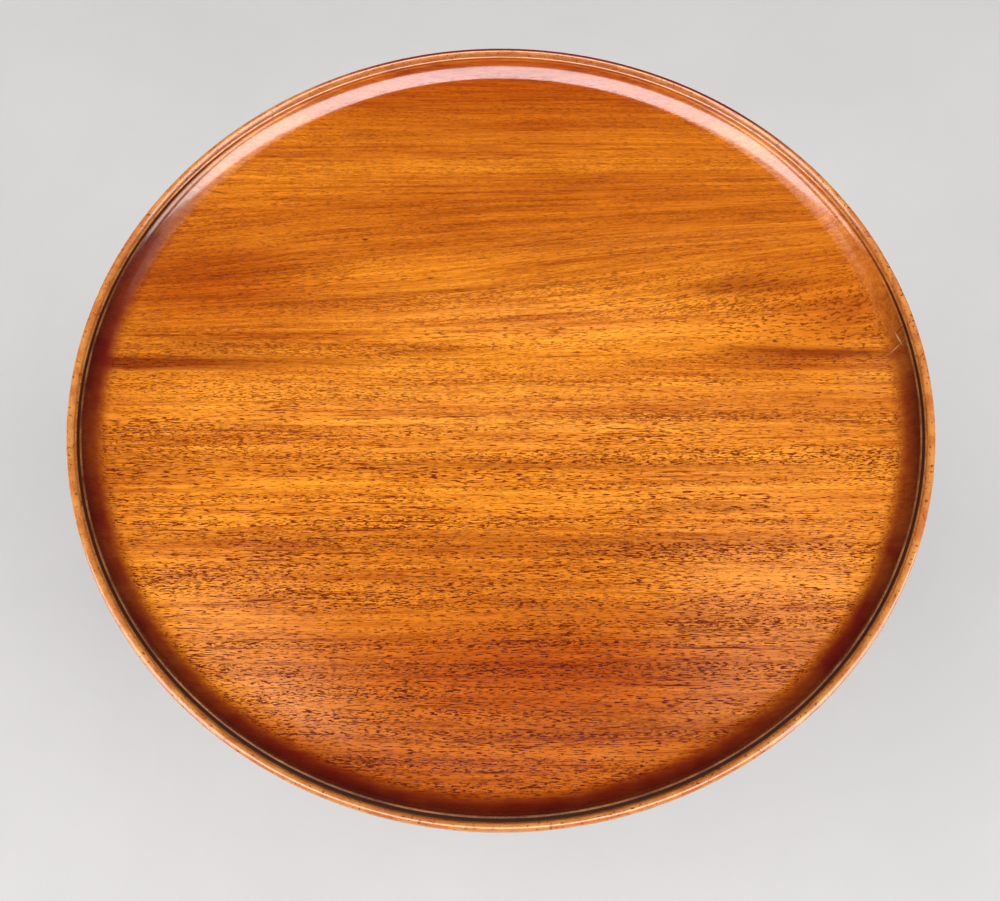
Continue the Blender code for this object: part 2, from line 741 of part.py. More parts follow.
def leg_stations():
    """Centre, depth, width and squareness at each ring of a leg that runs towards +X."""
    table = []
    foot_z = FOOT_HEIGHT / 2
    for reach, height, depth, width, square in LEG_SHARES:
        radius = HUB_RADIUS + (FOOT_REACH - HUB_RADIUS) * reach
        level = foot_z + (LEG_CENTRE_Z - foot_z) * height
        table.append((radius, level, LEG_DEPTH * depth, LEG_WIDTH * width, square))
    outline = smooth_through([point[:3] for point in table], LEG_STEPS)
    finish = smooth_through([(*point[3:], 0) for point in table], LEG_STEPS)
    return [
        (Vector((place.x, 0, place.y)), place.z, trim.x, trim.y)
        for place, trim in zip(outline, finish)
    ]


def leg_loft():
    """The sawn and rounded leg from inside the hub to inside the pad foot."""
    stations = leg_stations()
    centres = [station[0] for station in stations]
    shape = bmesh.new()
    rings = []
    for index, station in enumerate(stations):
        before = centres[max(index - 1, 0)]
        after = centres[min(index + 1, len(centres) - 1)]
        run = (after - before).normalized()
        rings.append([shape.verts.new(point) for point in leg_section(station, run)])
    for first, second in zip(rings, rings[1:]):
        for index in range(LEG_SECTION_POINTS):
            following = (index + 1) % LEG_SECTION_POINTS
            shape.faces.new((first[index], first[following], second[following], second[index]))
    shape.faces.new(rings[0])
    shape.faces.new(rings[-1])
    bmesh.ops.recalc_face_normals(shape, faces=shape.faces)
    mesh = bpy.data.meshes.new("leg_loft")
    shape.to_mesh(mesh)
    shape.free()
    return new_object("leg_loft", mesh)


def foot_pad():
    """The pad foot, turned and flat underneath."""
    crown = [(FOOT_RADIUS * wide, FOOT_HEIGHT * high) for wide, high in FOOT_SHARES]
    pad = turned("foot_pad", [*crown, (FOOT_BASE_RADIUS, 0), (0, 0)], FOOT_SIDES)
    pad.location.x = FOOT_REACH
    return pad


def make_leg_mesh():
    """One leg towards +X, shouldered to the hub, with its dovetail, pad foot and spider seat."""
    leg = leg_loft()
    shoulder = rod(
        "hub_shoulder",
        (0, 0, HUB_BOTTOM_Z - LEG_DEPTH),
        (0, 0, HUB_TOP_Z + LEG_DEPTH),
        HUB_RADIUS + CLEARANCE,
        COLUMN_SIDES,
    )
    tongue = dovetail("leg_tongue", 0, DOVETAIL_TOP_Z, HUB_BOTTOM_Z)
    half = SPIDER_ARM_WIDTH / 2 + CLEARANCE
    seat = block(
        "spider_seat",
        (0, -half, HUB_BOTTOM_Z - OVERRUN),
        (SPIDER_ARM_REACH + CLEARANCE, half, HUB_BOTTOM_Z),
    )
    boolean(leg, shoulder)
    boolean(leg, tongue, "UNION")
    boolean(leg, foot_pad(), "UNION")
    boolean(leg, seat)
    return leg


def spider_outline():
    """Outline of the spider: three arms with round ends, from a round middle."""
    half = SPIDER_ARM_WIDTH / 2
    outline = []
    tip = arc((SPIDER_ARM_REACH - half, 0), half, half, -90, 90, ARM_TIP_STEPS)
    root = math.sqrt(SPIDER_HUB_RADIUS**2 - half**2)
    for bearing in LEG_BEARINGS:
        turn = Matrix.Rotation(bearing, 2)
        outline += [turn @ Vector(point) for point in ((root, -half), *tip, (root, half))]
        half_way = Matrix.Rotation(bearing + math.pi / len(LEG_BEARINGS), 2)
        outline.append(half_way @ Vector((SPIDER_HUB_RADIUS, 0)))
    return outline


def spider_screws():
    """One screw into the hub and one into each leg."""
    places = [("hub", (0, 0, SPIDER_BOTTOM_Z))]
    for leg_name, bearing in zip(LEG_NAMES, LEG_BEARINGS):
        reach = SPIDER_SCREW_REACH
        place = (reach * math.cos(bearing), reach * math.sin(bearing), SPIDER_BOTTOM_Z)
        places.append((leg_name.removeprefix("leg_"), place))
    return [
        screw_and_cutter(f"spider_screw_{place_name}", SPIDER_SCREW, place, (0, 0, 1))
        for place_name, place in places
    ]


def make_case():
    """The catch's cast case: a flanged box, with a tunnel for the bolt and a slot for the knob."""
    flange = block(
        "catch_case",
        (-FLANGE_WIDTH / 2, CASE_FRONT_Y, FLANGE_BOTTOM_Z),
        (FLANGE_WIDTH / 2, CASE_REAR_Y, CASE_TOP_Z),
    )
    bevel_edges(flange, FLANGE_CORNER, CORNER_SEGMENTS, lambda a, b: a.z != b.z)
    box = block(
        "case_box",
        (-CASE_WIDTH / 2, CASE_FRONT_Y, CASE_BOTTOM_Z),
        (CASE_WIDTH / 2, CASE_REAR_Y, CASE_TOP_Z),
    )
    bevel_edges(box, CASE_BEVEL, EDGE_SEGMENTS, lambda a, b: max(a.z, b.z) < FLANGE_BOTTOM_Z)
    tunnel_half = BOLT_WIDTH / 2 + CLEARANCE
    tunnel = block(
        "bolt_tunnel",
        (-tunnel_half, CASE_FRONT_Y - OVERRUN, BOLT_BOTTOM_Z - CLEARANCE),
        (tunnel_half, CASE_REAR_Y - CASE_END_WALL, BOLT_TOP_Z + CLEARANCE),
    )
    slot_half = KNOB_SHANK_RADIUS + CLEARANCE
    slot = block(
        "knob_slot",
        (-slot_half, KNOB_Y - slot_half, CASE_BOTTOM_Z - OVERRUN),
        (slot_half, KNOB_Y + BOLT_TRAVEL + slot_half, BOLT_AXIS_Z),
    )
    boolean(flange, box, "UNION")
    boolean(flange, tunnel)
    boolean(flange, slot)
    return flange


def make_bolt():
    """The catch's bolt: a bar with a nose bevelled underneath, and a tail that guides the spring."""
    bevel = BOLT_HEIGHT * NOSE_BEVEL_SHARE
    outline = (
        (BOLT_TIP_Y, BOLT_TOP_Z),
        (BOLT_TIP_Y, BOLT_BOTTOM_Z + bevel),
        (BOLT_TIP_Y + bevel, BOLT_BOTTOM_Z),
        (BOLT_SHOULDER_Y, BOLT_BOTTOM_Z),
        (BOLT_SHOULDER_Y, BOLT_TOP_Z),
    )
    bolt = extruded("catch_bolt", outline, 0, -BOLT_WIDTH / 2, BOLT_WIDTH / 2)
    tail = rod(
        "bolt_tail",
        (0, KNOB_Y, BOLT_AXIS_Z),
        (0, BOLT_SHOULDER_Y + BOLT_TAIL_LENGTH, BOLT_AXIS_Z),
        BOLT_TAIL_RADIUS,
        SMALL_SIDES,
    )
    tapping = rod(
        "knob_tapping",
        (0, KNOB_Y, BOLT_BOTTOM_Z - OVERRUN),
        (0, KNOB_Y, BOLT_BOTTOM_Z + KNOB_SHANK_ENTRY + CLEARANCE),
        KNOB_SHANK_RADIUS + CLEARANCE,
        SMALL_SIDES,
    )
    boolean(bolt, tail, "UNION")
    boolean(bolt, tapping)
    return bolt


def make_knob():
    """The turned knob, whose shank passes through the case's slot into the bolt."""
    collar_z = CASE_BOTTOM_Z - CLEARANCE
    turning = [
        (KNOB_RADIUS * wide, collar_z - KNOB_LENGTH * (1 - along))
        for along, wide in reversed(KNOB_SHARES)
    ]
    shank_top = BOLT_BOTTOM_Z + KNOB_SHANK_ENTRY
    shank = [(0, shank_top), (KNOB_SHANK_RADIUS, shank_top), (KNOB_SHANK_RADIUS, collar_z)]
    knob = turned("catch_knob", [*shank, *turning, (0, collar_z - KNOB_LENGTH)], 2 * SMALL_SIDES)
    knob.location.y = KNOB_Y
    return knob


def spring_points():
    """Centre line of the spring, from the bolt's shoulder to the case's end wall."""
    radius = BOLT_HEIGHT / 2 - SPRING_WIRE_RADIUS
    start = BOLT_SHOULDER_Y + CLEARANCE + SPRING_WIRE_RADIUS
    end = CASE_REAR_Y - CASE_END_WALL - CLEARANCE - SPRING_WIRE_RADIUS
    count = SPRING_TURNS * SPRING_POINTS_PER_TURN
    points = []
    for index in range(count + 1):
        angle = 2 * math.pi * index / SPRING_POINTS_PER_TURN
        along = start + (end - start) * index / count
        points.append(
            Vector((radius * math.cos(angle), along, BOLT_AXIS_Z + radius * math.sin(angle)))
        )
    return points


def make_spring():
    """The coil spring behind the bolt, as a round wire on a helix."""
    points = spring_points()
    spacing = min(
        (points[index + SPRING_POINTS_PER_TURN] - points[index]).length
        for index in range(len(points) - SPRING_POINTS_PER_TURN)
    )
    print(f"least gap between the spring's turns: {spacing - 2 * SPRING_WIRE_RADIUS:.5f} m")
    curve = bpy.data.curves.new("catch_spring", "CURVE")
    curve.dimensions = "3D"
    curve.bevel_depth = SPRING_WIRE_RADIUS
    curve.bevel_resolution = 1
    curve.use_fill_caps = True
    spline = curve.splines.new("POLY")
    spline.points.add(len(points) - 1)
    for slot, point in zip(spline.points, points):
        slot.co = (*point, 1)
    return new_object("catch_spring", curve)


def catch_screws():
    """The four screws that hold the case to the underside of the top."""
    pairs = []
    for y_name, y_side in (("front", -1), ("rear", 1)):
        for x_name, x_side in (("left", -1), ("right", 1)):
            place = (
                x_side * FLANGE_SCREW_SPACING_X / 2,
                CATCH_CENTRE_Y + y_side * FLANGE_SCREW_SPACING_Y / 2,
                FLANGE_BOTTOM_Z,
            )
            name = f"catch_screw_{y_name}_{x_name}"
            pairs.append(screw_and_cutter(name, CATCH_SCREW, place, (0, 0, 1)))
    return pairs


def spring_mesh(spring, material):
    """The spring's curve made into a mesh piece of the same name."""
    bpy.context.view_layer.update()
    graph = bpy.context.evaluated_depsgraph_get()
    mesh = bpy.data.meshes.new_from_object(spring.evaluated_get(graph))
    name = spring.name
    bpy.data.objects.remove(spring)
    return settle(new_object(name, mesh), material)


def build_base(base, finish):
    """Column, block, wedge, legs, spider and keeper, which stand still."""
    spider = extruded("spider_plate", spider_outline(), 2, SPIDER_BOTTOM_Z, SPIDER_TOP_Z)
    column, tilt_block, keeper = make_column(), make_block(), make_keeper()
    wedge = wedge_solid("tenon_wedge", 0, 0)
    under_screws, rear_screws = spider_screws(), keeper_screws()
    for screw, hole in under_screws:
        boolean(spider, hole)
    boolean(column, under_screws[0][1])
    for screw, hole in rear_screws:
        boolean(keeper, hole)
        boolean(tilt_block, hole)
    pattern = make_leg_mesh()
    leg_hole = turned("leg_hole", screw_profile(SPIDER_SCREW, CLEARANCE, OVERRUN), SMALL_SIDES)
    leg_hole.location = (SPIDER_SCREW_REACH, 0, SPIDER_BOTTOM_Z)
    boolean(pattern, leg_hole)
    settle(pattern, finish["base_mahogany"])
    pieces = [
        settle(column, finish["base_mahogany"]),
        settle(tilt_block, finish["frame_mahogany"]),
        settle(wedge, finish["frame_mahogany"]),
        settle(spider, finish["spider_iron"]),
        settle(keeper, finish["catch_brass"]),
    ]
    for leg_name, bearing in zip(LEG_NAMES, LEG_BEARINGS):
        leg = new_object(leg_name, pattern.data)
        leg.rotation_euler.z = bearing
        leg.parent = base
    bpy.data.objects.remove(pattern)
    for screws, metal in ((under_screws, "screw_steel"), (rear_screws, "catch_brass")):
        pieces += [settle(screw, finish[metal]) for screw, hole in screws]
    for piece in pieces:
        hang(piece, base)


def build_top(swing, finish):
    """The top with its bearers and the catch's fixed pieces, which swing on the pivots."""
    top, case = make_top(), make_case()
    flange_screws = catch_screws()
    for screw, hole in flange_screws:
        boolean(case, hole)
        boolean(top, hole)
    pieces = []
    for side_name, side in (("left", -1), ("right", 1)):
        bearer = make_bearer(f"bearer_{side_name}", side)
        for screw, hole in bearer_screws(side_name, side):
            boolean(bearer, hole)
            boolean(top, hole)
            pieces.append(settle(screw, finish["screw_steel"]))
        pieces.append(settle(bearer, finish["frame_mahogany"]))
    pieces += [settle(screw, finish["catch_brass"]) for screw, hole in flange_screws]
    pieces += [
        settle(top, finish["top_mahogany"]),
        settle(case, finish["catch_brass"]),
        spring_mesh(make_spring(), finish["spring_steel"]),
    ]
    for piece in pieces:
        hang(piece, swing)


def build_bolt(slide, finish):
    """The bolt and its knob, which slide in the case."""
    for piece in (make_bolt(), make_knob()):
        hang(settle(piece, finish["catch_brass"]), slide)


def main():
    """Clears the scene and builds the table."""
    for obj in list(bpy.data.objects):
        bpy.data.objects.remove(obj, do_unlink=True)
    finish = {name: principled(name, *look) for name, look in FINISHES.items()}
    base = empty("base_frame", Vector((0, 0, 0)))
    swing = empty("top_swing", PIVOT_PLACE)
    slide = empty("bolt_slide", Vector((0, KNOB_Y, BOLT_AXIS_Z)), swing)
    build_base(base, finish)
    build_top(swing, finish)
    build_bolt(slide, finish)
    for tool in [obj for obj in bpy.data.objects if obj.hide_render]:
        bpy.data.objects.remove(tool)


main()
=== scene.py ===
"""The dressed tilt-top wine table.

A dished mahogany top, its two bearers, the block that it tilts on, a sprung brass catch,
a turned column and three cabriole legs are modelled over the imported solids, finished with
procedural materials, and set on a pale floor in soft light. Lengths are in metres, +Z is
up, and the grain of the top runs along X.
"""

import json
import logging
import math
from dataclasses import dataclass
from enum import Enum
from typing import Callable, Sequence

import bmesh
import bpy
from mathutils import Matrix, Vector


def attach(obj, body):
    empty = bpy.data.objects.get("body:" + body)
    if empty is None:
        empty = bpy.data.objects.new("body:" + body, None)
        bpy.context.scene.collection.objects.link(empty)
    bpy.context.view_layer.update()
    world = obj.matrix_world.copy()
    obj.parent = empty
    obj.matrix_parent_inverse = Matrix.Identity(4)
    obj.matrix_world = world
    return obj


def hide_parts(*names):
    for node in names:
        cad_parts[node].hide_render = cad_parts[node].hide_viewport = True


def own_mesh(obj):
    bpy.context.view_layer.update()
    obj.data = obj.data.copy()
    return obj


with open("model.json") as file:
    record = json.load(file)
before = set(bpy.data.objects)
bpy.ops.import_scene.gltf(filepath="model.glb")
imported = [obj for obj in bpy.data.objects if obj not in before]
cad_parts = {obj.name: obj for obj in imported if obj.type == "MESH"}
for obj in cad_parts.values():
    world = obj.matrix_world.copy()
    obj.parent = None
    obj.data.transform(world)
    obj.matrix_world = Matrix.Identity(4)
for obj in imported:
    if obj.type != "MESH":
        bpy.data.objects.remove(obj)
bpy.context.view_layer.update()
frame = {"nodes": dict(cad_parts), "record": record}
LOG = logging.getLogger("wine_table")

Point = tuple[float, float, float]
Colour = tuple[float, float, float]
Row = Sequence[float]
Pairs = Sequence[tuple[float, float]]
Spots = Sequence[tuple[str, Point]]
Piece = bpy.types.Object
Material = bpy.types.Material
Socket = bpy.types.NodeSocket
Tree = bpy.types.NodeTree

# What more than one piece reads: a glue line or running fit, how far a cutter runs past the
# face that it cuts, how close two places count as one, the top's underside, the block's
# upper face, the legs' bearings in degrees, and the way up.
CLEARANCE = 0.0003
OVERRUN = 0.004
NEAR = 0.00001
UNDERSIDE = 0.6855
BLOCK_TOP = UNDERSIDE - CLEARANCE
BEARINGS = {"leg_front_right": -30, "leg_rear": 90, "leg_front_left": 210}
UP = (0, 0, 1)


class Kind(Enum):
    """The kinds of element that are picked in edit mode."""

    VERT = "VERT"
    EDGE = "EDGE"
    FACE = "FACE"


class Body(Enum):
    """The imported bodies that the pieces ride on."""

    BASE = "base"
    TOP = "top"
    BOLT = "bolt"


class Bench:
    """Everyday modelling moves, each on one mesh at a time."""

    @staticmethod
    def clear() -> None:
        """Leaves edit mode and deselects everything."""
        if bpy.context.object is not None and bpy.context.object.mode != "OBJECT":
            bpy.ops.object.mode_set(mode="OBJECT")
        bpy.ops.object.select_all(action="DESELECT")

    @staticmethod
    def take(obj: Piece) -> None:
        """Selects one object alone and makes it active.

        Args:
            obj: the object to work on.
        """
        Bench.clear()
        obj.select_set(True)
        bpy.context.view_layer.objects.active = obj

    @staticmethod
    def edit(obj: Piece, kind: Kind = Kind.VERT, everything: bool = True) -> None:
        """Takes an object into edit mode.

        Args:
            obj: the object to work on.
            kind: which elements are selectable.
            everything: whether its whole mesh starts selected.
        """
        Bench.take(obj)
        bpy.ops.object.mode_set(mode="EDIT")
        bpy.ops.mesh.select_mode(type=kind.value)
        bpy.ops.mesh.select_all(action="SELECT" if everything else "DESELECT")

    @staticmethod
    def done() -> None:
        """Leaves edit mode."""
        bpy.ops.object.mode_set(mode="OBJECT")

    @staticmethod
    def pick(obj: Piece, kind: Kind, test: Callable[..., bool]) -> int:
        """Selects the elements that a test picks, in edit mode.

        Args:
            obj: the object in edit mode.
            kind: the kind of element to test.
            test: says of each element whether it is wanted.

        Returns:
            How many elements are selected.
        """
        bpy.ops.mesh.select_mode(type=kind.value)
        bpy.ops.mesh.select_all(action="DESELECT")
        shape = bmesh.from_edit_mesh(obj.data)
        items = {Kind.VERT: shape.verts, Kind.EDGE: shape.edges, Kind.FACE: shape.faces}[kind]
        chosen = [item for item in items if test(item)]
        for item in chosen:
            item.select_set(True)
        shape.select_flush_mode()
        bmesh.update_edit_mesh(obj.data)
        return len(chosen)

    @staticmethod
    def name(obj: Piece, name: str) -> Piece:
        """Names an object and its mesh, and puts its place into the mesh.

        Args:
            obj: the object.
            name: its new name.

        Returns:
            The same object, at the origin.
        """
        Bench.take(obj)
        bpy.ops.object.transform_apply(location=True, rotation=True, scale=True)
        obj.name = obj.data.name = name
        return obj

    @staticmethod
    def draw(name: str, points: Sequence[Row], closed: bool = False) -> Piece:
        """Draws a line from point to point, by extruding one corner of it at a time.

        Args:
            name: the object's name.
            points: the corners in order.
            closed: whether the line is closed and filled with one face.

        Returns:
            An object that holds the line or the face.
        """
        places = [Vector(point) for point in points]
        Bench.clear()
        bpy.ops.mesh.primitive_plane_add(size=0.01, location=places[0])
        obj = Bench.name(bpy.context.object, name)
        Bench.edit(obj)
        bpy.ops.mesh.merge(type="CENTER")
        for start, end in zip(places, places[1:]):
            bpy.ops.mesh.extrude_vertices_move(TRANSFORM_OT_translate={"value": end - start})
        if closed:
            bpy.ops.mesh.select_all(action="SELECT")
            bpy.ops.mesh.edge_face_add()
        Bench.done()
        return obj

    @staticmethod
    def turn(name: str, profile: Pairs, steps: int) -> Piece:
        """Turns a profile about the Z axis, as on a lathe.

        Args:
            name: the piece's name.
            profile: radius and height of each corner, from the axis round to the axis.
            steps: how many steps go round.

        Returns:
            The turned piece.
        """
        obj = Bench.draw(name, [(radius, 0, height) for radius, height in profile])
        Bench.edit(obj)
        bpy.ops.mesh.spin(steps=steps, angle=math.tau, center=(0, 0, 0), axis=(0, 0, 1))
        Bench.tidy(obj)
        return obj

    @staticmethod
    def tidy(obj: Piece, weld: float = NEAR) -> None:
        """Merges doubled corners and turns all faces outwards.

        Args:
            obj: the object.
            weld: corners closer than this are made one.
        """
        Bench.edit(obj)
        bpy.ops.mesh.remove_doubles(threshold=weld)
        bpy.ops.mesh.select_all(action="SELECT")
        bpy.ops.mesh.normals_make_consistent(inside=False)
        Bench.done()

    @staticmethod
    def saw(name: str, outline: Sequence[Row], way: Row) -> Piece:
        """Saws a piece out of a board: a filled outline, extruded one way.

        Args:
            name: the piece's name.
            outline: the outline's corners.
            way: how far and which way the face is extruded.

        Returns:
            The sawn piece.
        """
        obj = Bench.draw(name, outline, closed=True)
        Bench.edit(obj, Kind.FACE)
        bpy.ops.mesh.extrude_region_move(TRANSFORM_OT_translate={"value": Vector(way)})
        Bench.tidy(obj)
        return obj

    @staticmethod
    def block(name: str, low: Row, high: Row) -> Piece:
        """A cube primitive at its size and place, to be shaped further or to cut with.

        Args:
            name: the object's name.
            low: its lowest corner.
            high: its highest corner.

        Returns:
            The block.
        """
        Bench.clear()
        low, high = Vector(low), Vector(high)
        bpy.ops.mesh.primitive_cube_add(size=1, location=(low + high) / 2, scale=high - low)
        return Bench.name(bpy.context.object, name)

    @staticmethod
    def rod(name: str, start: Row, end: Row, radius: float, sides: int = 48) -> Piece:
        """A round bar between two places, to be shaped further or to cut with.

        Args:
            name: the object's name.
            start: the middle of one end.
            end: the middle of the other end.
            radius: its radius.
            sides: its facets.

        Returns:
            The bar.
        """
        Bench.clear()
        start, end = Vector(start), Vector(end)
        way = end - start
        bpy.ops.mesh.primitive_cylinder_add(
            vertices=sides, radius=radius, depth=way.length, location=(start + end) / 2,
            rotation=way.to_track_quat("Z", "Y").to_euler())
        return Bench.name(bpy.context.object, name)

    @staticmethod
    def bevel(obj: Piece, width: float, segments: int, test: Callable[..., bool]) -> None:
        """Bevels the edges that a test picks.

        Args:
            obj: the object.
            width: the bevel's width.
            segments: its steps.
            test: says of each edge whether it is bevelled.
        """
        Bench.edit(obj, Kind.EDGE, False)
        if Bench.pick(obj, Kind.EDGE, test):
            bpy.ops.mesh.bevel(offset=width, segments=segments, profile=0.5, affect="EDGES",
                               clamp_overlap=True)
        Bench.done()

    @staticmethod
    def soften(obj: Piece, width: float, segments: int = 2, angle: float = 30) -> None:
        """Rounds every sharp edge with an applied bevel.

        Args:
            obj: the object.
            width: the bevel's width.
            segments: its steps.
            angle: edges sharper than this many degrees are rounded.
        """
        Bench.take(obj)
        bevel = obj.modifiers.new("Softened edges", "BEVEL")
        bevel.width = width
        bevel.segments = segments
        bevel.limit_method = "ANGLE"
        bevel.angle_limit = math.radians(angle)
        bevel.use_clamp_overlap = True
        bpy.ops.object.modifier_apply(modifier=bevel.name)

    @staticmethod
    def cut(obj: Piece, *tools: Piece, operation: str = "DIFFERENCE") -> None:
        """Cuts tools from an object, or joins them on, and removes the tools.

        Args:
            obj: the object that stays.
            tools: what cuts it.
            operation: DIFFERENCE, UNION or INTERSECT.
        """
        for tool in tools:
            Bench.take(obj)
            boolean = obj.modifiers.new(tool.name, "BOOLEAN")
            boolean.operation = operation
            boolean.solver = "EXACT"
            boolean.object = tool
            bpy.ops.object.modifier_apply(modifier=boolean.name)
            bpy.data.objects.remove(tool)

    @staticmethod
    def join(name: str, pieces: Sequence[Piece]) -> Piece:
        """Joins several meshes into one object.

        Args:
            name: the joined object's name.
            pieces: the objects; the first one stays.

        Returns:
            The joined object.
        """
        Bench.take(pieces[0])
        for piece in pieces[1:]:
            piece.select_set(True)
        bpy.ops.object.join()
        pieces[0].name = pieces[0].data.name = name
        return pieces[0]

    @staticmethod
    def copy(obj: Piece, name: str, change: Matrix = Matrix.Identity(4)) -> Piece:
        """Copies an object with a mesh of its own.

        Args:
            obj: the pattern.
            name: the copy's name.
            change: how the copy's mesh is moved or turned.

        Returns:
            The copy.
        """
        Bench.take(obj)
        bpy.ops.object.duplicate(linked=False)
        made = bpy.context.object
        made.name = made.data.name = name
        made.data.transform(change)
        return made

    @staticmethod
    def shade(obj: Piece, angle: float) -> None:
        """Shades an object smooth, with its edges sharp past an angle in degrees."""
        Bench.take(obj)
        bpy.ops.object.shade_smooth_by_angle(angle=math.radians(angle))


class Graph:
    """Places and links the nodes of one shader tree."""

    def __init__(self, tree: Tree) -> None:
        """Starts on an empty or fresh tree."""
        self.tree = tree
        self.count = 0

    def node(self, kind: str, **settings: object) -> bpy.types.Node:
        """Adds a node.

        Args:
            kind: the node's type, without its ShaderNode prefix.
            settings: properties to set on it.

        Returns:
            The node.
        """
        made = self.tree.nodes.new(kind if kind.startswith("NodeGroup") else f"ShaderNode{kind}")
        made.location = (180 * (self.count // 6), -170 * (self.count % 6))
        self.count += 1
        for key, value in settings.items():
            setattr(made, key, value)
        return made

    def feed(self, socket: Socket, value: object) -> None:
        """Links a socket, or sets its value.

        Args:
            socket: an input socket.
            value: an output socket to link, or a constant.
        """
        if isinstance(value, Socket):
            self.tree.links.new(value, socket)
        elif value is not None:
            if socket.type == "RGBA" and len(value) == 3:
                value = (*value, 1)
            socket.default_value = value

    def math(self, operation: str, *values: object, clamp: bool = False) -> Socket:
        """A sum of up to three values.

        Args:
            operation: the operation's name.
            values: sockets or numbers.
            clamp: whether the result stays between 0 and 1.

        Returns:
            The result's socket.
        """
        made = self.node("Math", operation=operation, use_clamp=clamp)
        for socket, value in zip(made.inputs, values):
            self.feed(socket, value)
        return made.outputs[0]

    def plus(self, first: object, second: object) -> Socket:
        """Two values together."""
        return self.math("ADD", first, second)

    def less(self, whole: object, part: object, clamp: bool = False) -> Socket:
        """A value less another."""
        return self.math("SUBTRACT", whole, part, clamp=clamp)

    def rest(self, part: object, clamp: bool = False) -> Socket:
        """What is left of one."""
        return self.math("SUBTRACT", 1.0, part, clamp=clamp)

    def times(self, first: object, second: object, clamp: bool = False) -> Socket:
        """One value times another."""
        return self.math("MULTIPLY", first, second, clamp=clamp)

    def times_plus(self, value: object, factor: object, base: object, clamp: bool = False) -> Socket:
        """A value times a factor, on top of a base."""
        return self.math("MULTIPLY_ADD", value, factor, base, clamp=clamp)

    def most(self, first: object, second: object) -> Socket:
        """The greater of two values."""
        return self.math("MAXIMUM", first, second)

    def fill(self, made: bpy.types.Node, **values: object) -> bpy.types.Node:
        """Feeds a node's inputs by name.

        Args:
            made: the node.
            values: sockets or constants, with the spaces in the inputs' names as underscores.

        Returns:
            The same node.
        """
        for key, value in values.items():
            self.feed(made.inputs[key.replace("_", " ")], value)
        return made

    def vector(self, operation: str, *values: object) -> Socket:
        """A sum of vectors.

        Args:
            operation: the operation's name.
            values: sockets or vectors.

        Returns:
            The result's socket, a value for LENGTH and a vector otherwise.
        """
        made = self.node("VectorMath", operation=operation)
        for socket, value in zip(made.inputs, values):
            self.feed(socket, value)
        return made.outputs["Value" if operation in ("LENGTH", "DOT_PRODUCT") else "Vector"]

    def noise(self, place: object, stretch: Point | float, detail: float = 2, roughness: float = 0.5,
              distortion: float = 0, shift: Point = (0, 0, 0), colour: bool = False) -> Socket:
        """Noise on stretched coordinates.

        Args:
            place: the coordinates.
            stretch: how many cells to the metre, in all or along each axis.
            detail: octaves.
            roughness: how strong the finer octaves are.
            distortion: how far the noise is bent.
            shift: an offset of the pattern.
            colour: whether three independent values are wanted.

        Returns:
            The noise's value or colour.
        """
        made = self.node("TexNoise")
        scale = stretch if isinstance(stretch, tuple) else (stretch, stretch, stretch)
        self.fill(made, Vector=self.mapped(place, scale, shift), Scale=1, Detail=detail, Roughness=roughness,
                  Distortion=distortion)
        return made.outputs["Color" if colour else "Fac"]

    def mapped(self, place: object, scale: Point, shift: Point = (0, 0, 0),
               turn: Point = (0, 0, 0)) -> Socket:
        """Coordinates that are scaled, turned by angles in radians, and then shifted."""
        made = self.node("Mapping")
        return self.fill(made, Vector=place, Location=shift, Rotation=turn, Scale=scale).outputs[0]

    def span(self, value: object, low: float, high: float, to_low: float = 0, to_high: float = 1,
             smooth: bool = True) -> Socket:
        """Carries a value from one range to another.

        Args:
            value: the value.
            low: where the first range starts.
            high: where the first range ends.
            to_low: the result at low.
            to_high: the result at high.
            smooth: whether the ends are eased.

        Returns:
            The result's socket.
        """
        made = self.node("MapRange", interpolation_type="SMOOTHSTEP" if smooth else "LINEAR")
        self.fill(made, Value=value, From_Min=low, From_Max=high, To_Min=to_low, To_Max=to_high)
        return made.outputs[0]

    def mix(self, share: object, first: object, second: object, mode: str = "MIX") -> Socket:
        """Mixes two colours.

        Args:
            share: how much of the second is used.
            first: a colour.
            second: a colour.
            mode: the blend mode.

        Returns:
            The mixed colour.
        """
        made = self.node("Mix", data_type="RGBA", blend_type=mode)
        self.feed(made.inputs[0], share)
        self.feed(made.inputs[6], first)
        self.feed(made.inputs[7], second)
        return made.outputs[2]

    def bump(self, height: object, strength: float, distance: float, normal: object = None) -> Socket:
        """A normal that a height bumps, on top of another one. The distance is in metres."""
        made = self.node("Bump")
        return self.fill(made, Strength=strength, Distance=distance, Height=height, Normal=normal).outputs[0]

    def place(self, tree: Tree, **values: object) -> bpy.types.NodeOutputs:
        """Places a node group, feeds its inputs by name, and hands back its outputs."""
        return self.fill(self.node("Group", node_tree=tree), **values).outputs


def new_group(name: str, inputs: Sequence[tuple[str, str, object]],
              outputs: Sequence[tuple[str, str]]) -> tuple[Graph, bpy.types.NodeOutputs, bpy.types.Node]:
    """Starts a shader node group with named sockets.

    Args:
        name: the group's name.
        inputs: name, kind (Float, Color or Vector) and default of each input.
        outputs: name and kind of each output.

    Returns:
        The group's graph, its inputs as sockets to read, and the node that takes its outputs.
    """
    tree = bpy.data.node_groups.new(name, "ShaderNodeTree")
    for label, kind, default in inputs:
        socket = tree.interface.new_socket(label, in_out="INPUT", socket_type=f"NodeSocket{kind}")
        if default is not None:
            socket.default_value = (*default, 1) if kind == "Color" else default
    for label, kind in outputs:
        tree.interface.new_socket(label, in_out="OUTPUT", socket_type=f"NodeSocket{kind}")
    graph = Graph(tree)
    return graph, graph.node("NodeGroupInput").outputs, graph.node("NodeGroupOutput")


